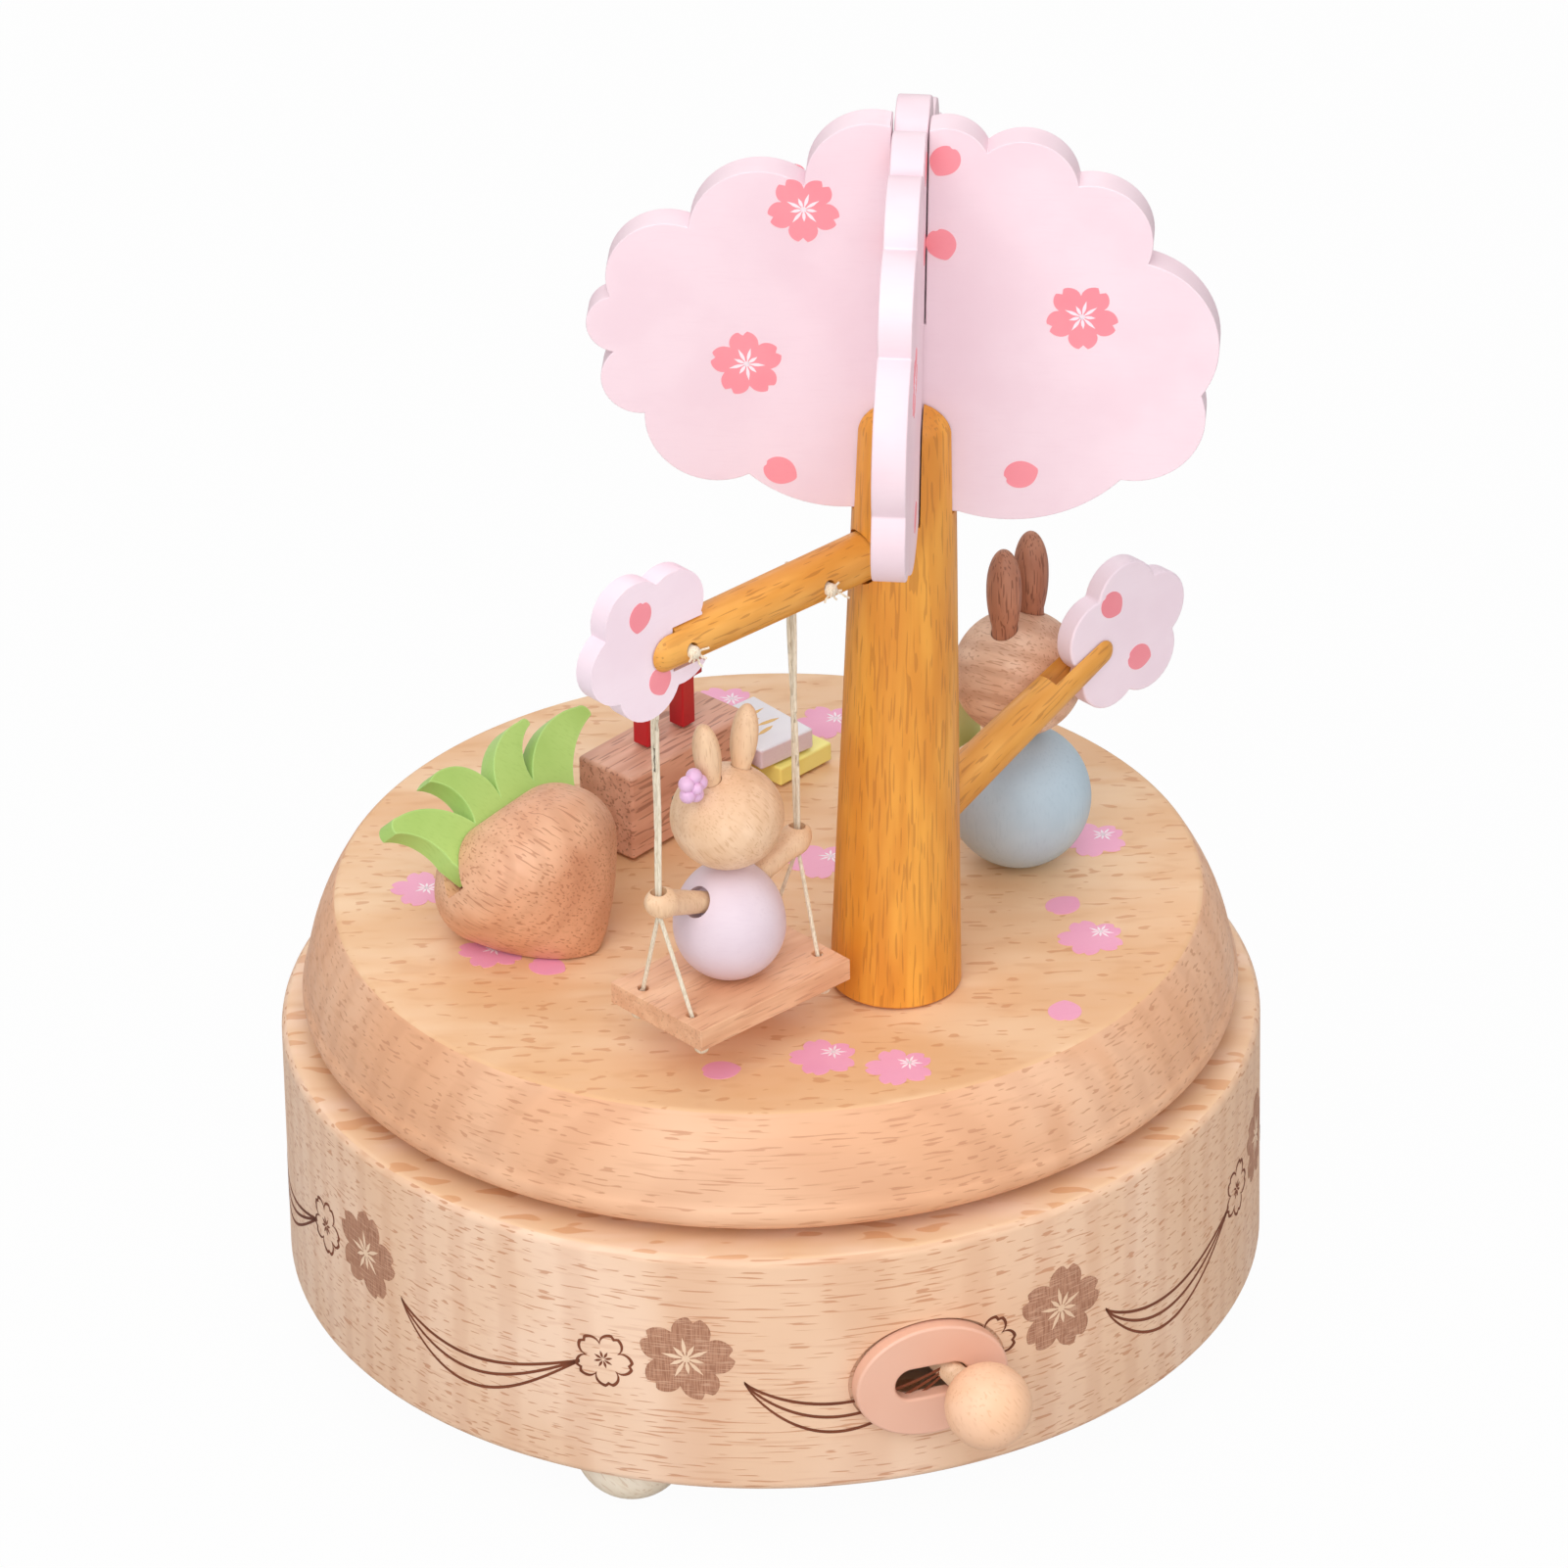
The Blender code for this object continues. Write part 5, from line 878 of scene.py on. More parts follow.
def stamens(bm, place, radius, turn, lift, count=9, width=0.09):
    """A star of pale strokes of two lengths about a small heart."""
    for stamen in range(count):
        angle = turn + math.tau * (stamen + 0.5) / count
        reach = radius * (0.52 if stamen % 2 == 0 else 0.38)
        way = Vector((math.cos(angle), math.sin(angle))) * reach * 0.52
        spot = flat_at(place, way.x, way.y, angle, lift)
        flat_shape(bm, streak_edge(reach * 0.9, radius * width), 8, spot, FILM)
    heart = flat_at(place, 0.0, 0.0, 0.0, lift)
    flat_shape(bm, streak_edge(radius * 0.16, radius * 0.16), 10, heart, FILM)


def strand(bm, points, radius, sides=8):
    """Add a closed round thread through a row of points."""
    rings = []
    spokes = [math.tau * side / sides for side in range(sides)]
    for number, point in enumerate(points):
        before, after = points[max(number - 1, 0)], points[min(number + 1, len(points) - 1)]
        place = Matrix.Translation(point) @ along(after - before)
        rings.append([bm.verts.new(place @ Vector((radius * math.cos(spoke), radius * math.sin(spoke), 0.0)))
                      for spoke in spokes])
    for lower, upper in zip(rings, rings[1:]):
        for side in range(sides):
            beside = (side + 1) % sides
            bm.faces.new((lower[side], lower[beside], upper[beside], upper[side]))
    bm.faces.new(rings[0])
    bm.faces.new(rings[-1])


def ball(bm, centre, radius):
    place = Matrix.Translation(centre)
    bmesh.ops.create_uvsphere(bm, u_segments=20, v_segments=12, radius=radius, matrix=place)


def between(start, end, steps, drift=0.0, seed=0):
    """Points on a slightly wavering line."""
    wander = random.Random(seed)
    phase = wander.uniform(0.0, 6.28)
    points = []
    for step in range(steps + 1):
        share = step / steps
        point = Vector(start).lerp(Vector(end), share)
        point.x += drift * math.sin(math.pi * share) * math.sin(phase + 9.0 * share)
        points.append(point)
    return points


def over(node, height):
    """The upright axis through a node's middle, at a height."""
    low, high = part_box(node)
    return at((low.x + high.x) / 2.0, (low.y + high.y) / 2.0, height)


# Pieces


class BuildDrum(bpy.types.Operator):
    """Turn the hollow drum, cut the lever's openings and add the cover and the feet."""

    bl_idname = "music_box.drum"
    bl_label = "Drum, cover and feet"

    def execute(self, context):
        edge, top = DRUM_EDGE, DRUM_TOP
        roof = top - DRUM_ROOF
        shoulder = COVER_THICKNESS + GAP
        profile = [(0.0, roof), (CAVITY_RADIUS, roof), (CAVITY_RADIUS, shoulder), (MOUTH_RADIUS, shoulder),
                   (MOUTH_RADIUS, 0.0), (DRUM_RADIUS - edge, 0.0)]
        profile += bow((DRUM_RADIUS - edge, 0.0), (DRUM_RADIUS, edge), 0.29 * edge, 6)
        profile += [(DRUM_RADIUS, top / 2.0), (DRUM_RADIUS, top - edge)]
        profile += bow((DRUM_RADIUS, top - edge), (DRUM_RADIUS - edge, top), 0.29 * edge, 6)
        drum = spun(profile + [(0.0, top)], sizes().turned_steps)
        cutters = [moved(brick(size), at(*middle)) for size, middle in OPENINGS]
        cutters.append(moved(slab(oval(PLATE_WIDTH + 2.0 * GAP, PLATE_HEIGHT + 2.0 * GAP), 0.004),
                             at(0.0, -(PLATE_BACK + 0.0017), LEVER_HEIGHT) @ standing(0.0)))
        cutters.append(peg(SHAFT_HOLE, roof - MM, top + MM))
        settle("drum_body", carved(drum, *cutters), "beech_wall", "base", ("base_drum",),
               top="beech_top")
        wide, deep = SCREW_SINK
        sinks = [moved(joined(peg(wide, -MM, deep), peg(SCREW_HOLE, -MM, 0.01)),
                       over("cover_screw_%d" % number, 0.0)) for number in (1, 2, 3)]
        settle("cover_board", carved(peg(COVER_RADIUS, 0.0, COVER_THICKNESS, 128), *sinks), "cover_board",
               "base", ("bottom_cover",))
        bowl = [point for point in egg(FOOT_RADIUS, FOOT_DEPTH, FOOT_RADIUS, FOOT_DEPTH - 0.0004, 48)
                if point[1] <= TINY]
        wide, deep = FOOT_HOLE
        foot = bowl + [(FOOT_RADIUS, 0.0), (wide, 0.0), (wide, deep), (0.0, deep)]
        for number in (1, 2, 3):
            node = "foot_%d" % number
            settle("ball_" + node, spun(foot, 64), "foot_wood", "base", (node,),
                   over(node, -GAP))
        return {'FINISHED'}


class BuildEngraving(bpy.types.Operator):
    """Engrave eight repeats of two blossoms and a swag round the drum's wall."""

    bl_idname = "music_box.engraving"
    bl_label = "Engraving"

    def execute(self, context):
        fill, line, bare = bmesh.new(), bmesh.new(), bmesh.new()
        width = sizes().line_width
        degree = math.radians(1.0) * DRUM_RADIUS
        for number in range(REPEATS):
            base = (FIRST_BLOSSOM + 360.0 / REPEATS * (number - REPEATS // 2)) * degree
            radius, turn, height = FILLED_BLOSSOM
            flat_shape(fill, blossom_edge(radius, turn), 100, at(base, height, 0.0), FILM)
            stamens(bare, at(base, height, 0.0), radius, turn, FILM, 10, 0.08)
            radius, turn, height = OUTLINED_BLOSSOM
            outlined = at(base - OUTLINED_BACK * degree, height, 0.0)
            outline_ring(line, blossom_edge(radius, turn, 0.10), 100, outlined, width)
            for stamen in range(8):
                angle = math.pi * stamen / 4.0 + 0.3
                spot = flat_at(outlined, math.cos(angle) * 0.0007, math.sin(angle) * 0.0007, angle)
                flat_shape(line, streak_edge(0.0011, 0.0003), 8, spot, FILM)
            for sag in (0.0, 0.5, 1.0):
                swag(line, base + SWAG[0] * degree, base + SWAG[1] * degree, sag, width)
        for name, bm, material in (("engraved_blossoms", fill, "engraved_fill"),
                                   ("engraved_lines", line, "engraved_line"),
                                   ("engraved_stamens", bare, "engraved_bare")):
            self.wrap(bm)
            settle(name, bm, material, "base")
        return {'FINISHED'}

    def wrap(self, bm):
        """Cut a flat pattern at every millimetre, and bend it round the drum's wall."""
        bmesh.ops.triangulate(bm, faces=bm.faces)
        for cut in range(-220, 201):
            bmesh.ops.bisect_plane(bm, geom=bm.verts[:] + bm.edges[:] + bm.faces[:], dist=1e-8,
                                   plane_co=(cut * MM, 0, 0), plane_no=(1, 0, 0))
        for vert in bm.verts:
            angle = vert.co.x / DRUM_RADIUS + TURN
            reach = DRUM_RADIUS + FILM / 2.0 + vert.co.z
            vert.co = Vector((math.sin(angle) * reach, -math.cos(angle) * reach, vert.co.y))


class BuildLever(bpy.types.Operator):
    """Make the slotted plate with its rounded rim, the lever and its knob."""

    bl_idname = "music_box.lever"
    bl_label = "Lever"

    def execute(self, context):
        middle = -(PLATE_BACK + PLATE_THICKNESS / 2.0)
        plate = slab(oval(PLATE_WIDTH, PLATE_HEIGHT), PLATE_THICKNESS)
        plate = carved(plate, slab(stadium(SLOT_WIDTH, SLOT_HEIGHT), 3.0 * PLATE_THICKNESS))
        settle("lever_plate", plate, "pink_plastic", "base", ("lever_escutcheon",),
               at(0.0, middle, LEVER_HEIGHT) @ standing(0.0), PLATE_EDGE)
        lever = Matrix.Translation(JOINTS["lever_turn"]) @ turned(LEVER_REST)
        outward = lever @ along((0.0, -1.0, 0.0))
        bm = bmesh.new()
        bm.from_mesh(frame["nodes"]["stop_lever"].data)
        bmesh.ops.remove_doubles(bm, verts=bm.verts, dist=0.000002)
        settle("lever_arm", bm, "pale_wood", "lever", ("stop_lever",))
        shape = egg(KNOB_RADIUS, KNOB_RADIUS + TINY, KNOB_RADIUS, KNOB_RADIUS, 40)
        knob = moved(spun(shape, 72), outward @ up(KNOB_REACH))
        socket = moved(peg(LEVER_HOLE, 0.0, KNOB_REACH - KNOB_RADIUS + 0.0029), outward)
        settle("ball_knob", carved(knob, socket), "knob_wood", "lever", ("lever_knob",))
        return {'FINISHED'}


class BuildMovement(bpy.types.Operator):
    """Give the movement's pieces their metals."""

    bl_idname = "music_box.movement"
    bl_label = "Movement"

    def execute(self, context):
        slots = {row["node"]: row["material_slot"] for row in frame["record"]["subparts"]}
        for node, piece in frame["nodes"].items():
            if slots.get(node) in ("brass", "steel") and not piece.hide_render:
                piece.data.materials.clear()
                piece.data.materials.append(finish(slots[node]))
        return {'FINISHED'}


class BuildTurntable(bpy.types.Operator):
    """Turn the turntable's disc with its slanted flank, and print blossoms and petals on it."""

    bl_idname = "music_box.turntable"
    bl_label = "Turntable"

    def execute(self, context):
        lip = TABLE_BASE + TABLE_LIP
        start = (TABLE_RADIUS - TABLE_LIP / 2.0, TABLE_BASE)
        shoulder = (TABLE_TOP_RADIUS + TABLE_ROUND / 3.0, DECK - TABLE_ROUND)
        profile = [(0.0, TABLE_BASE), start]
        profile += bow(start, (TABLE_RADIUS, lip), 0.35 * TABLE_LIP, 12)
        profile += bow((TABLE_RADIUS, lip), shoulder, 0.0006, 12)
        profile += bow(shoulder, (TABLE_TOP_RADIUS - TABLE_ROUND, DECK), 0.25 * TABLE_ROUND, 6)
        disc = spun(profile + [(0.0, DECK)], sizes().turned_steps)
        (wide, shallow), (slim, deep) = HUB_SINK
        steps = [(0.0, -MM), (wide, -MM), (wide, shallow), (slim, shallow), (slim, deep), (0.0, deep)]
        sink = moved(spun(steps, 64), up(TABLE_BASE))
        settle("turntable_wood", carved(disc, sink), "table_wall", "turntable", ("turntable_disc",),
               top="table_top")
        lift = sizes().print_lift
        fill, mark = bmesh.new(), bmesh.new()
        blossoms = ((-42.0, 0.6, 0.3, 0.2), (-33.5, -14.4, 0.3, 0.4), (6.2, -40.7, 1.2, 1.2),
                    (15.2, -43.3, 1.2, 1.0), (38.9, -14.1, 1.2, 1.4), (40.0, 9.4, 1.2, 1.2),
                    (7.7, 39.8, 1.1, 1.0), (6.5, 5.4, 1.2, 1.2), (-5.3, 45.2, 1.1, 1.0))
        petals = ((-26.9, -18.3), (-6.1, -43.2), (35.7, -6.3), (35.2, -31.2))
        for number, (x, y, right, back) in enumerate(blossoms):
            turn = 0.5 + 1.3 * number
            place = flat_at(DECK_FRAME, x * MM, y * MM)
            flat_shape(fill, blossom_edge(TABLE_BLOSSOM, turn), 100, place, lift)
            star = flat_at(DECK_FRAME, (x + right) * MM, (y + back) * MM)
            stamens(mark, star, TABLE_STAR, turn, lift)
        for number, (x, y) in enumerate(petals):
            place = flat_at(DECK_FRAME, x * MM, y * MM)
            flat_shape(fill, petal_edge(TABLE_PETAL, 2.6 + 0.7 * number), 48, place, lift)
        settle("table_prints", fill, "print_pink", "turntable")
        settle("table_stamens", mark, "print_white", "turntable")
        return {'FINISHED'}


def canopy_outline():
    """The cloud-shaped board, about the middle of its base."""
    arcs = [(6.5, 0.0, 0.0), (25.4, 5.1, 2.8), (34.5, 16.6, 4.2), (27.9, 33.6, 4.8), (19.6, 43.3, 3.8),
            (8.9, 47.1, 3.4), (0.6, 48.6, 2.2), (-12.1, 41.9, 4.7), (-25.6, 35.9, 4.3), (-34.7, 26.4, 4.2),
            (-34.2, 19.2, 3.0), (-30.5, 11.3, 3.2), (-18.2, 3.8, 4.2), (-6.5, 0.0, 1.2)]
    return scalloped((-6.5, 0.0), arcs, 22, MM)


class BuildTree(bpy.types.Operator):
    """Turn the trunk and the branches and cut the boards that stand in them."""

    bl_idname = "music_box.tree"
    bl_label = "Tree"

    def execute(self, context):
        crown = 0.8 * TRUNK_TOP_RADIUS
        profile = [(0.0, GAP), (TRUNK_BASE_RADIUS - GAP, GAP), (TRUNK_BASE_RADIUS, 2.0 * GAP)]
        trunk = moved(spun(profile + dome(TRUNK_TOP_RADIUS, TRUNK_HEIGHT - crown, crown)), LEANING)
        lap = CANOPY_THICKNESS + 2.0 * SLOT_GAP
        slots = [moved(brick((4.0 * TRUNK_TOP_RADIUS, lap, 0.02)),
                       LEANING @ up(CANOPY_BASE - GAP + 0.01) @ turned(angle))
                 for angle in (CANOPY_ANGLE, CANOPY_ANGLE + QUARTER)]
        roots = [self.branch(*row) for row in BRANCHES]
        settle("trunk", carved(trunk, *slots, *roots), "trunk_stain", "turntable",
               ("tree_trunk",))
        for name, node, angle, start, end in (
                ("canopy_across", "canopy_board_across", CANOPY_ANGLE, CANOPY_MIDDLE - GAP / 2.0,
                 CANOPY_BASE + 0.070),
                ("canopy_along", "canopy_board_along", CANOPY_ANGLE - QUARTER, 0.0,
                 CANOPY_MIDDLE + GAP / 2.0)):
            board = moved(slab(canopy_outline(), CANOPY_THICKNESS), at(0.0, CANOPY_BASE, 0.0))
            notch = moved(brick((lap, end - start, 0.008)), at(0.0, (start + end) / 2.0, 0.0))
            settle(name, carved(board, notch), "pink_board", "turntable", (node,),
                   LEANING @ standing(angle), BOARD_EDGE)
        return {'FINISHED'}

    def branch(self, side, start, reach, tip, direction, blossom, radius, first_angle, slot, holes):
        """Make a branch and its blossom board, and return the hole that it needs in the trunk."""
        way = direction.normalized()
        level = math.atan2(way.y, way.x)
        root = TREE @ up(start)
        place = root @ turned(level) @ turned(QUARTER - math.asin(way.z), 'Y')
        profile = [(0.0, BRANCH_DEPTH), (BRANCH_ROOT_RADIUS, BRANCH_DEPTH)]
        rod = moved(spun(profile + dome(tip, reach - tip, tip), 64), place)
        groove = moved(brick((4.0 * tip, BLOSSOM_THICKNESS + 2.0 * SLOT_GAP, slot + 0.004)),
                       place @ up(reach - slot / 2.0 + 0.002))
        drilled = [moved(peg(STRING_HOLE, -0.01, 0.01), root @ turned(level) @ at(spot, 0.0, 0.0)
                         @ along((0.0, 1.0, 0.0))) for spot in holes]
        stain = "rising_stain" if side == "right" else "branch_stain"
        settle("twig_" + side, carved(rod, groove, *drilled), stain, "turntable",
               ("branch_" + side,))
        board = moved(slab(petalled(radius, math.radians(first_angle)), BLOSSOM_THICKNESS),
                      root @ standing(level) @ at(*blossom, 0.0))
        opening = 2.0 * (tip + (BRANCH_ROOT_RADIUS - tip) * slot / reach + 0.0001)
        reliefs = [moved(brick((opening, 2.0 * BLOSSOM_THICKNESS, reach)),
                         place @ up(reach / 2.0 - slot + GAP))]
        corner = blossom[0] - 0.8 * radius
        if corner < reach - slot:
            reliefs.append(moved(brick((opening + 2.0 * GAP, 2.0 * BLOSSOM_THICKNESS, reach)),
                                 place @ up(corner - reach / 2.0)))
        settle("flower_board_" + side, carved(board, *reliefs), "flower_board", "turntable",
               ("blossom_board_" + side,), Matrix(), EDGE)
        return moved(peg(ROOT_HOLE, BRANCH_DEPTH - GAP, 2.0 * TRUNK_BASE_RADIUS), place)


class PrintBoards(bpy.types.Operator):
    """Print blossoms and petals on both faces of the boards."""

    bl_idname = "music_box.board_prints"
    bl_label = "Board prints"

    def execute(self, context):
        fill, mark = bmesh.new(), bmesh.new()
        lift = sizes().print_lift
        blossoms = ((-12.2, 104.2, 0.94), (-18.6, 83.7, 1.71), (20.35, 91.7, 1.0))
        petals = ((4.1, 111.3), (3.8, 100.5), (-14.6, 69.8), (13.6, 70.6))
        small = ((-40.4, 66.0), (-37.6, 56.5), (35.0, 38.3), (39.5, 29.4))
        for angle in (CANOPY_ANGLE, CANOPY_ANGLE - QUARTER):
            for face, side in self.faces(LEANING @ standing(angle)):
                for x, y, turn in blossoms:
                    place = flat_at(side, face * x * MM, y * MM, 0.0, CANOPY_THICKNESS / 2.0)
                    flat_shape(fill, blossom_edge(BOARD_BLOSSOM, turn), 100, place, lift)
                    stamens(mark, place, BOARD_BLOSSOM, turn, lift)
                for number, (x, y) in enumerate(petals):
                    place = flat_at(side, face * x * MM, y * MM, 0.0, CANOPY_THICKNESS / 2.0)
                    flat_shape(fill, petal_edge(BOARD_PETAL, 1.1 + 0.8 * number), 48, place, lift)
        for face, side in self.faces(TREE @ standing(BRANCH_ANGLE)):
            for number, (x, y) in enumerate(small):
                place = flat_at(side, face * x * MM, y * MM, 0.0, BLOSSOM_THICKNESS / 2.0)
                flat_shape(fill, petal_edge(SMALL_PETAL, 1.3 + 0.5 * number), 48, place, lift)
        settle("board_prints", fill, "print_coral", "turntable")
        settle("board_stamens", mark, "print_white", "turntable")
        return {'FINISHED'}

    def faces(self, place):
        return ((1.0, place), (-1.0, place @ turned(math.pi, 'Y')))


class BuildSwing(bpy.types.Operator):
    """Make the seat, and the cotton threads with their knots and loose ends."""

    bl_idname = "music_box.swing"
    bl_label = "Swing"

    def execute(self, context):
        seat = moved(brick(SEAT_SIZE), up(-SEAT_DROP - SEAT_SIZE.z / 2.0))
        holes = []
        for side in (-1.0, 1.0):
            for end in (-1.0, 1.0):
                start, through = self.leg(side, end)
                way = through - start
                holes.append(moved(peg(LEG_HOLE, way.length * 0.6, way.length + 0.002),
                                   Matrix.Translation(start) @ along(way)))
        settle("seat_board", carved(seat, *holes), "seat_wood", "swing", ("swing_seat",),
               SWING_FRAME, EDGE)
        for number, side in ((1, -1.0), (2, 1.0)):
            self.string(number, side)
        for number, reach in ANCHORS:
            bm = bmesh.new()
            radius = BRANCH_ROOT_RADIUS - 0.0002 * reach / LEFT_BRANCH_LENGTH
            spot = Vector((reach, radius + 0.0002, -0.0003))
            strand(bm, between((reach, -0.0029, 0.0), spot, 8), ANCHOR_THREAD, 12)
            ball(bm, spot, ANCHOR_KNOT)
            self.tuft(bm, spot, Vector((-0.0002, 0.0008, -0.0004)), 0.0019, number)
            settle("string_anchor_%d" % number, bm, "cotton", "turntable",
                   ("swing_anchor_%d" % number,),
                   TREE @ up(LEFT_BRANCH_HEIGHT) @ turned(BRANCH_ANGLE + math.pi))
        return {'FINISHED'}

    def string(self, number, side):
        """Make one side's threads: a pair that parts below the hand, and a third between them."""
        bm = bmesh.new()
        top, hand = self.run(side)
        for end in (-1.0, 1.0):
            apart = Vector((0.0, end * THREAD_APART, 0.0))
            held = hand + 0.4 * apart
            start, through = self.leg(side, end)
            strand(bm, between(top + apart, held, 24, 0.00012, number + 7 * end)
                   + between(held, start, 4)[1:] + between(start, through, 10)[1:], THREAD_RADIUS)
            ball(bm, through, KNOT_RADIUS)
            self.tuft(bm, start.lerp(through, 0.86), Vector((0.0, 0.0, 0.0008)), 0.0012, side + 2.0 * end)
        strand(bm, between(top, self.leg(side, 1.0)[0], 24, 0.0002, number), 0.8 * THREAD_RADIUS)
        settle("string_%d" % number, bm, "cotton", "swing", ("swing_string_%d" % number,),
               SWING_FRAME)

    def tuft(self, bm, root, way, reach, turn):
        """Add the frayed ends of a knot, spread across and set off one way."""
        for fibre in range(7):
            angle = turn + 0.9 * fibre
            long = reach * (0.75 + 0.25 * math.cos(3.0 * fibre))
            tip = root + way + Vector((long * math.cos(angle), 0.3 * long * math.sin(2.0 * angle),
                                       0.7 * long * math.sin(angle)))
            strand(bm, between(root, tip, 4, 0.0002, fibre), 0.00014, 5)

    def run(self, side):
        """From the pivot to the rabbit's hand."""
        return (Vector((side * STRING_HALF, 0.0, STRING_TOP)), Vector((side * HAND_X, 0.0, -HAND_DROP)))

    def leg(self, side, end):
        """From below the hand to the knot under a corner of the seat."""
        top, hand = self.run(side)
        start = hand + (hand - top).normalized() * PARTING
        hole = Vector((side * SEAT_HOLE.x, end * SEAT_HOLE.y, -SEAT_DROP - SEAT_SIZE.z))
        return start, hole + (hole - start).normalized() * KNOT_DROP


class BuildFigures(bpy.types.Operator):
    """Turn the two rabbits' bodies, heads, ears and arms."""

    bl_idname = "music_box.figures"
    bl_label = "Figures"

    def execute(self, context):
        waist = -SEAT_DROP + GAP + SMALL_BODY[3]
        head_height = waist + SMALL_BODY[2] + GAP + SMALL_HEAD[3]
        body = moved(spun(egg(*SMALL_BODY, 40)), up(waist))
        head = moved(spun(egg(*SMALL_HEAD, 40)), up(head_height))
        shoulders, ear_holes = [], []
        for side, sign in (("left", -1.0), ("right", 1.0)):
            root = (at(sign * SMALL_EAR_ROOT[0], 0.0, head_height + SMALL_EAR_ROOT[1])
                    @ turned(sign * math.radians(9.0), 'Y'))
            ear_holes.append(self.ear("swing_rabbit_ear_" + side, "small_rabbit_ear_" + side, *SMALL_EAR,
                                      "ear_wood", "pale_wood", "swing", SWING_FRAME, root))
            shoulders.append(self.arm(side, sign, waist))
        settle("swing_rabbit_body", carved(body, *shoulders), "lilac_paint", "swing",
               ("small_rabbit_body",), SWING_FRAME)
        settle("swing_rabbit_head", carved(head, *ear_holes), "pale_wood", "swing",
               ("small_rabbit_head",), SWING_FRAME)
        flower = bmesh.new()
        centre = Vector(EAR_FLOWER) + Vector((0.0, 0.0, head_height))
        for petal in range(5):
            angle = 0.1 + math.tau * petal / 5.0
            spot = Vector((0.0011 * math.cos(angle), 0.0, 0.0013 * math.sin(angle)))
            ball(flower, centre + spot, 0.0010)
        ball(flower, centre - Vector((0.0, 0.0007, 0.0)), 0.0008)
        settle("ear_flower", flower, "bead_paint", "swing", ("hair_flower",), SWING_FRAME)
        self.face("swing_rabbit_face", SWING_FRAME @ up(head_height) @ turned(QUARTER),
                  SMALL_HEAD[0], "swing")
        self.standing_rabbit()
        return {'FINISHED'}

    def standing_rabbit(self):
        middle = GAP + BIG_BODY[3]
        head_height = middle + BIG_BODY[2] + GAP + BIG_HEAD[3]
        root = DECK_FRAME @ Matrix.Translation(BIG_PLACE) @ turned(BIG_FACING)
        settle("standing_rabbit_body", spun(egg(*BIG_BODY, 44), 112), "blue_paint", "turntable",
               ("big_rabbit_body",), root @ up(middle))
        head = moved(spun(egg(*BIG_HEAD, 44), 112), up(head_height))
        holes = [self.ear("standing_rabbit_ear_" + side, "big_rabbit_ear_" + side, *BIG_EAR,
                          "dark_dowel", "dark_dowel", "turntable", root,
                          at(0.0, sign * BIG_EAR_ROOT[0], head_height + BIG_EAR_ROOT[1]))
                 for side, sign in (("left", 1.0), ("right", -1.0))]
        settle("standing_rabbit_head", carved(head, *holes), "rabbit_wood", "turntable",
               ("big_rabbit_head",), root)
        self.face("standing_rabbit_face", root @ up(head_height), BIG_HEAD[0], "turntable")
        low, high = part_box("chest_card")
        spot = Matrix.Translation((low + high) / 2.0) @ turned(TURN + BIG_FACING + QUARTER)
        settle("rabbit_card", brick(CARD), "yellow_paint", "turntable", ("chest_card",),
               spot, EDGE)

    def arm(self, side, sign, waist):
        """Make an arm, drilled for the string, and return the hole that it needs in the body."""
        start = Vector((sign * SHOULDER[0], 0.0, waist + SHOULDER[1]))
        way = Vector((sign * ARM_REACH, 0.0, -HAND_DROP)) - start
        place = Matrix.Translation(start) @ along(way)
        length = way.length
        slim, thick = ARM_RADII
        profile = [(0.0, 0.0), (slim, 0.0), (thick, length * 0.6)]
        profile += bow((thick, length * 0.6), (0.0, length), 0.0010, 14)
        line = Vector((sign * (HAND_X - STRING_HALF), 0.0, -HAND_DROP - STRING_TOP))
        hole = moved(peg(0.0010, -0.004, 0.004), at(sign * HAND_X, 0.0, -HAND_DROP) @ along(line))
        settle("swing_rabbit_arm_" + side, carved(moved(spun(profile, 48), place), hole), "ear_wood",
               "swing", ("small_rabbit_arm_" + side,), SWING_FRAME)
        return moved(peg(ARM_HOLE, -GAP, length), place)

    def ear(self, name, node, radius, length, material, slot, body, rabbit, spot):
        """Make an ear on its peg, and return the hole that it needs in the head."""
        root = 0.72 * radius
        profile = [(0.0, 0.0), (root, 0.0), (root, EAR_PEG)]
        profile += bow((root, EAR_PEG), (radius, 0.58 * length), 0.08 * radius, 10)
        profile += dome(radius, 0.58 * length, 0.42 * length)[1:]
        settle(name, spun(profile, 48), material, body, (node,), rabbit @ spot)
        return moved(peg(root + 0.0001, -GAP, length), spot)

    def face(self, name, place, radius, body):
        """Two round eyes and a small nose, on the side that looks along X."""
        bm = bmesh.new()
        for height, side, size in ((0.10, 0.36, 0.10), (0.10, -0.36, 0.10), (-0.14, 0.0, 0.07)):
            reach = math.sqrt(1.0 - height * height - side * side) - 0.04
            ball(bm, Vector((reach, side, height)) * radius, size * radius)
        settle(name, bm, "eye_black", body, (), place)


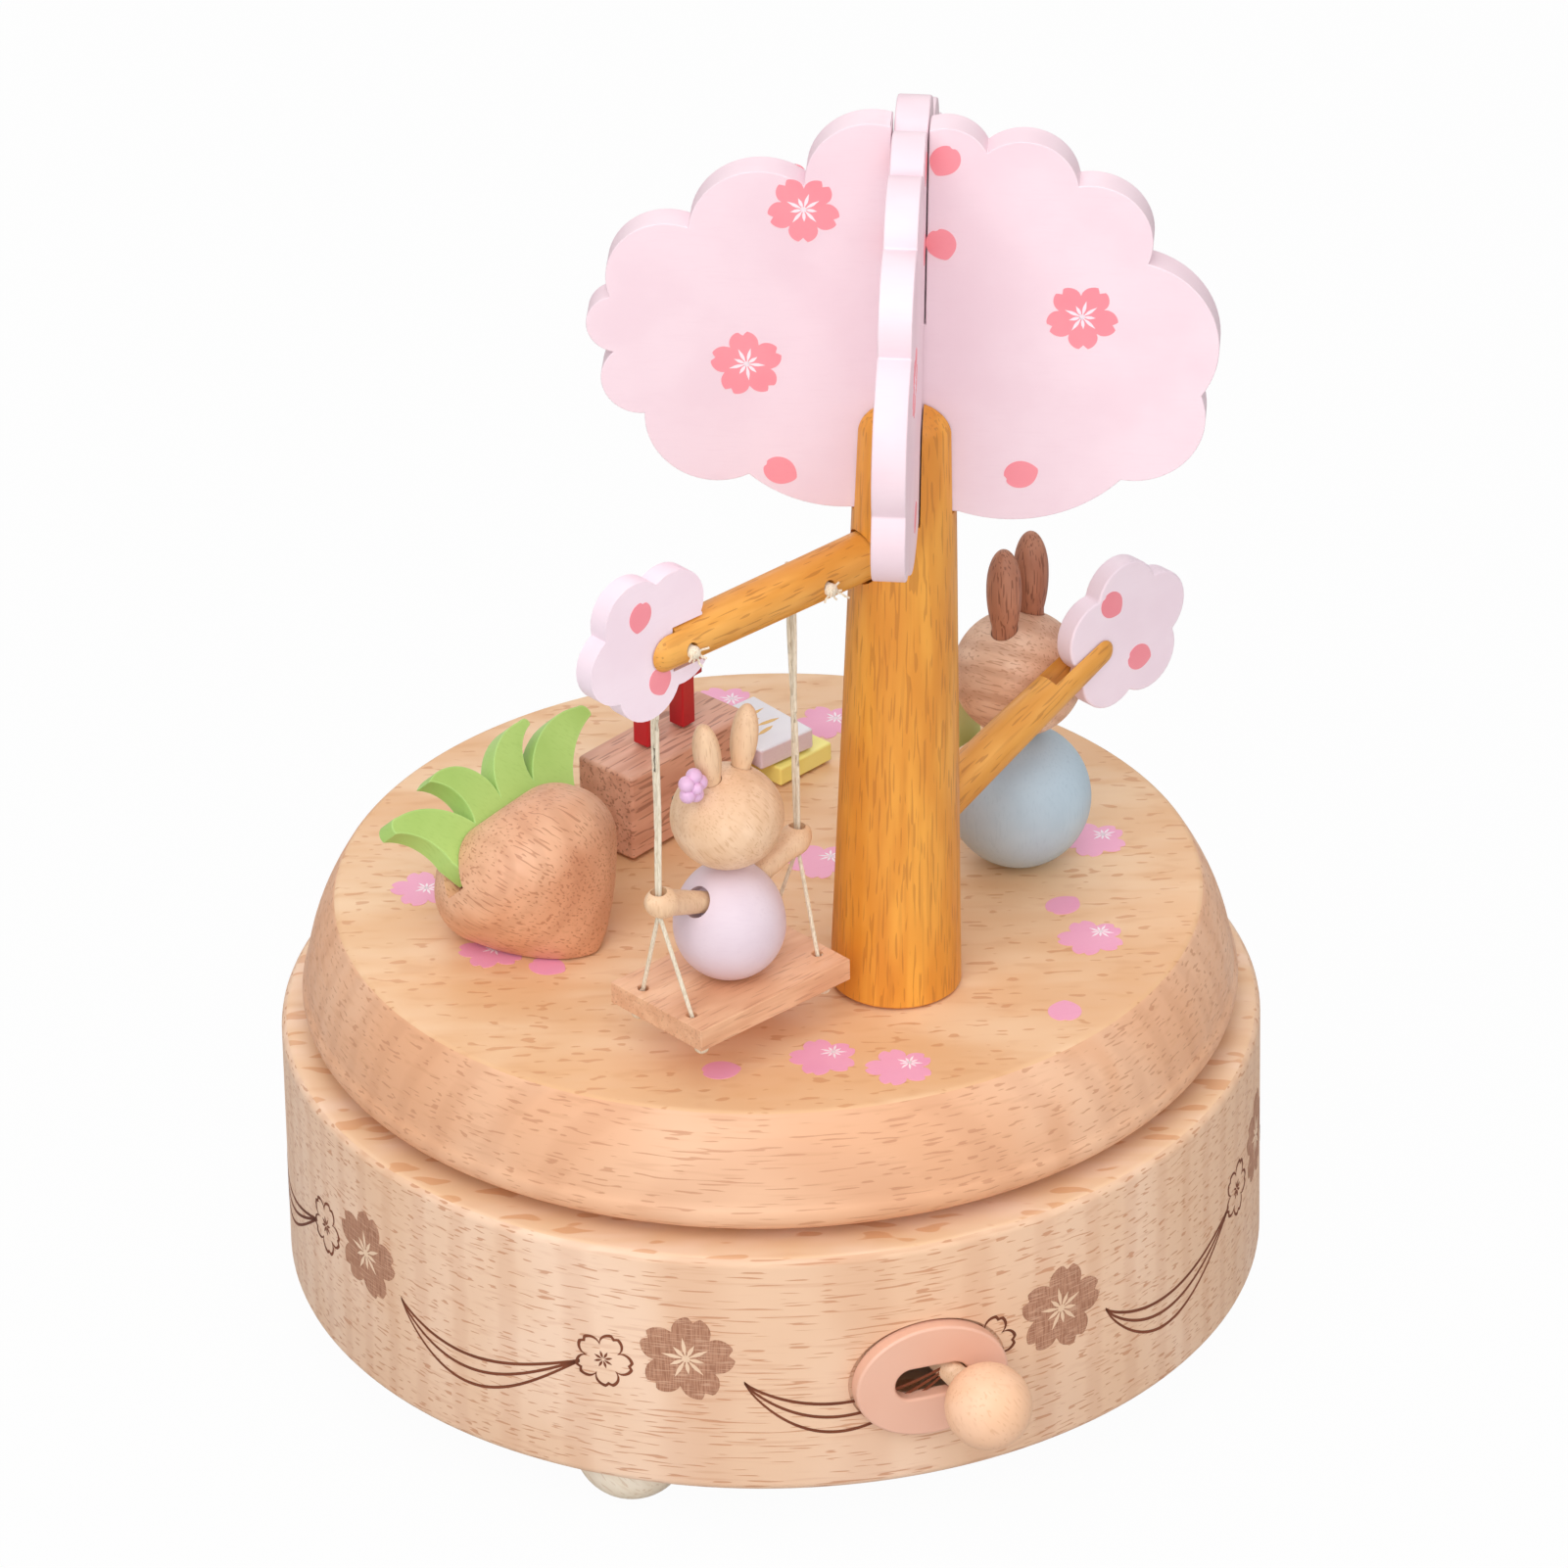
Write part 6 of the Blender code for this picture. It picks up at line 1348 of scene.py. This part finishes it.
class BuildGarden(bpy.types.Operator):
    """Make the turnip with its leaves, the block with its gate, the tray and the box."""

    bl_idname = "music_box.garden"
    bl_label = "Turnip, gate and box"

    def execute(self, context):
        normal = TURNIP_ACROSS.cross(TURNIP_CROWN).normalized()
        leaves = Matrix((TURNIP_CROWN.cross(normal), TURNIP_CROWN, normal)).transposed().to_4x4()
        centre = DECK_FRAME @ Matrix.Translation(TURNIP_PLACE)
        scale = TURNIP_RADIUS
        profile = scalloped((0.0, -1.17), [(0.0, -1.17, 0.0), (0.12, -1.14, 0.0), (0.30, -1.02, 0.0),
                                           (0.93, -0.30, 0.03), (0.88, 0.44, 0.14), (0.40, 0.66, 0.07),
                                           (0.0, 0.67, 0.0)], 14, scale)
        root = moved(spun(profile, 112), centre @ along(TURNIP_CROWN))
        ground = moved(brick((0.06, 0.06, 0.02)),
                       DECK_FRAME @ at(TURNIP_PLACE.x, TURNIP_PLACE.y, GAP - 0.01))
        groove = moved(brick((2.4 * scale, 0.02, LEAF_THICKNESS + 2.0 * SLOT_GAP)),
                       centre @ leaves @ at(0.0, LEAF_ROOT - GAP + 0.01, 0.0))
        settle("turnip_root", carved(root, ground, groove), "turnip_wood", "turntable",
               ("turnip",))
        arcs = [(10.8, 0.0, 0.0), (12.5, 2.8, 0.0), (20.9, 8.4, -1.0), (19.8, 10.2, 0.6), (7.3, 5.8, 2.2),
                (12.0, 11.6, -1.3), (11.0, 12.6, 0.5), (1.6, 6.4, 2.2), (-3.0, 12.9, 1.6), (-6.4, 12.6, 0.3),
                (-4.1, 5.4, -1.6), (-13.6, 11.2, 1.5), (-15.2, 9.6, 0.7), (-10.6, 3.0, -1.2),
                (-9.4, 0.0, 0.0)]
        board = slab(scalloped((-9.4, 0.0), arcs, 12, TURNIP_RADIUS / 11.5), LEAF_THICKNESS)
        settle("turnip_leaf_board", board, "leaf_paint", "turntable", ("turnip_leaves",),
               centre @ leaves @ at(0.0, LEAF_ROOT, 0.0), EDGE)
        self.block_and_gate()
        self.tray_and_box()
        return {'FINISHED'}

    def block_and_gate(self):
        spot, angle, size = BLOCK
        place = DECK_FRAME @ at(spot.x, spot.y, GAP) @ turned(angle)
        settle("plain_block", brick(size), "block_wood", "turntable", ("wooden_block",),
               place @ up(size.z / 2.0), BOARD_EDGE)
        inner, outer, height, beam, thickness = GATE
        low = 0.6 * height
        roof = height - beam
        wide = outer + 0.0030
        side = outer + 0.0015
        half = [(inner, 0.0), (outer, 0.0), (outer, low), (side, low), (side, low + beam),
                (outer, low + beam), (outer, roof), (wide, roof + beam / 3.0),
                (wide + beam / 4.0, height + beam / 3.0)]
        half += bow(half[-1], (0.0, height), -0.0002, 8)
        outline = half + [(-x, y) for x, y in reversed(half[:-1])]
        gate = slab(outline + [(-inner, low), (inner, low)], thickness)
        opening = moved(brick((2.0 * inner, roof - low - beam, 0.01)),
                        at(0.0, (roof + low + beam) / 2.0, 0.0))
        settle("gate", carved(gate, opening), "red_paint", "turntable", ("red_gate",),
               place @ up(size.z + GAP) @ standing(0.0), FINE_EDGE)

    def tray_and_box(self):
        low = GAP
        # The paper box is white card; its sides take the lilac paint as painted shade, and only its top takes the
        # white card.
        for name, node, row, material, slot, top in (
                ("tray", "yellow_tray", TRAY, "yellow_paint", "yellow_paint", None),
                ("paper_box", "white_box", PAPER_BOX, "lilac_paint", "white_card", "white_card")):
            spot, angle, size = row
            place = DECK_FRAME @ at(spot.x, spot.y, low + size.z / 2.0) @ turned(angle)
            settle(name, brick(size), material, "turntable", (node,), place, EDGE, top)
            low += size.z + GAP
        marks = bmesh.new()
        lid = place @ up(size.z / 2.0)
        for x, y, length, angle in MARKS:
            flat_shape(marks, streak_edge(length, 0.0006), 16, flat_at(lid, x, y, angle), 0.00003)
        settle("box_marks", marks, "gold_mark", "turntable")


class BuildStage(bpy.types.Operator):
    """Lay the pale floor, light it softly and set the camera."""

    bl_idname = "music_box.stage"
    bl_label = "Stage"

    def execute(self, context):
        self.floor(context)
        self.world(context)
        for name, (place, energy, size) in LAMPS.items():
            lamp = bpy.data.lights.new(name, 'AREA')
            lamp.energy = energy
            lamp.size = size
            lamp_object = bpy.data.objects.new(name, lamp)
            lamp_object.location = place
            aim = LAMP_AIM - Vector(place)
            lamp_object.rotation_euler = aim.to_track_quat('-Z', 'Y').to_euler()
            context.scene.collection.objects.link(lamp_object)
        self.camera(context)
        context.scene.view_settings.view_transform = 'Standard'
        return {'FINISHED'}

    def floor(self, context):
        """A pale floor that looks white to the camera but for a soft shadow."""
        bm = bmesh.new()
        bmesh.ops.create_grid(bm, x_segments=1, y_segments=1, size=FLOOR_SIZE)
        mesh = bpy.data.meshes.new("floor")
        bm.to_mesh(mesh)
        bm.free()
        floor = bpy.data.objects.new("floor", mesh)
        floor.location = (0.0, 0.0, FLOOR)
        context.scene.collection.objects.link(floor)
        made = Finish("pale_floor")
        glow = made.node("Emission")
        glow.inputs["Color"].default_value = WHITE
        share = made.maths('MULTIPLY', made.node("LightPath").outputs["Is Camera Ray"], FLOOR_GLOW)
        made.blend(share, made.shader, glow, "Material Output")
        mesh.materials.append(made.done((FLOOR_GREY,) * 3, 0.9))

    def world(self, context):
        """Soft light from all round, behind a backdrop that looks white."""
        world = bpy.data.worlds.new("studio")
        context.scene.world = world
        world.use_nodes = True
        made = Nodes(world.node_tree)
        lit, shown = world.node_tree.nodes["Background"], made.node("Background")
        for background in (lit, shown):
            background.inputs["Color"].default_value = WHITE
        lit.inputs["Strength"].default_value = WORLD_STRENGTH
        path = made.node("LightPath").outputs
        seen = path["Is Camera Ray"]
        for ray in ("Is Glossy Ray", "Is Transmission Ray"):
            seen = made.maths('MAXIMUM', seen, path[ray])
        made.blend(seen, lit, shown, "World Output")

    def camera(self, context):
        camera = bpy.data.cameras.new("camera")
        camera.lens = LENS
        camera.sensor_width = 36.0
        camera.clip_end = 20.0
        rotation = Matrix((CAMERA_RIGHT, CAMERA_UP, -CAMERA_AHEAD)).transposed().to_4x4()
        view = bpy.data.objects.new("camera", camera)
        view.matrix_world = up(DRUM_TOP) @ LEVEL @ Matrix.Translation(CAMERA_SPOT) @ rotation
        context.scene.collection.objects.link(view)
        context.scene.camera = view


OPERATORS = (BuildStage, BuildDrum, BuildEngraving, BuildLever, BuildTurntable, BuildTree, PrintBoards,
             BuildSwing, BuildFigures, BuildGarden, BuildMovement)


class MusicBoxPanel(bpy.types.Panel):
    """Lists the builders in the sidebar."""

    bl_label = "Music Box"
    bl_idname = "VIEW3D_PT_music_box"
    bl_space_type = 'VIEW_3D'
    bl_region_type = 'UI'
    bl_category = "Music Box"

    def draw(self, context):
        for operator in OPERATORS:
            self.layout.operator(operator.bl_idname)


CLASSES = (MusicBoxColours, MusicBoxSizes, *OPERATORS, MusicBoxPanel)


def register():
    for item in CLASSES:
        bpy.utils.register_class(item)
    bpy.types.Scene.music_box_colours = PointerProperty(type=MusicBoxColours)
    bpy.types.Scene.music_box_sizes = PointerProperty(type=MusicBoxSizes)


def unregister():
    del bpy.types.Scene.music_box_sizes
    del bpy.types.Scene.music_box_colours
    for item in reversed(CLASSES):
        bpy.utils.unregister_class(item)


def main():
    register()
    for operator in OPERATORS:
        group, action = operator.bl_idname.split(".")
        getattr(getattr(bpy.ops, group), action)()


if __name__ == "__main__":
    main()
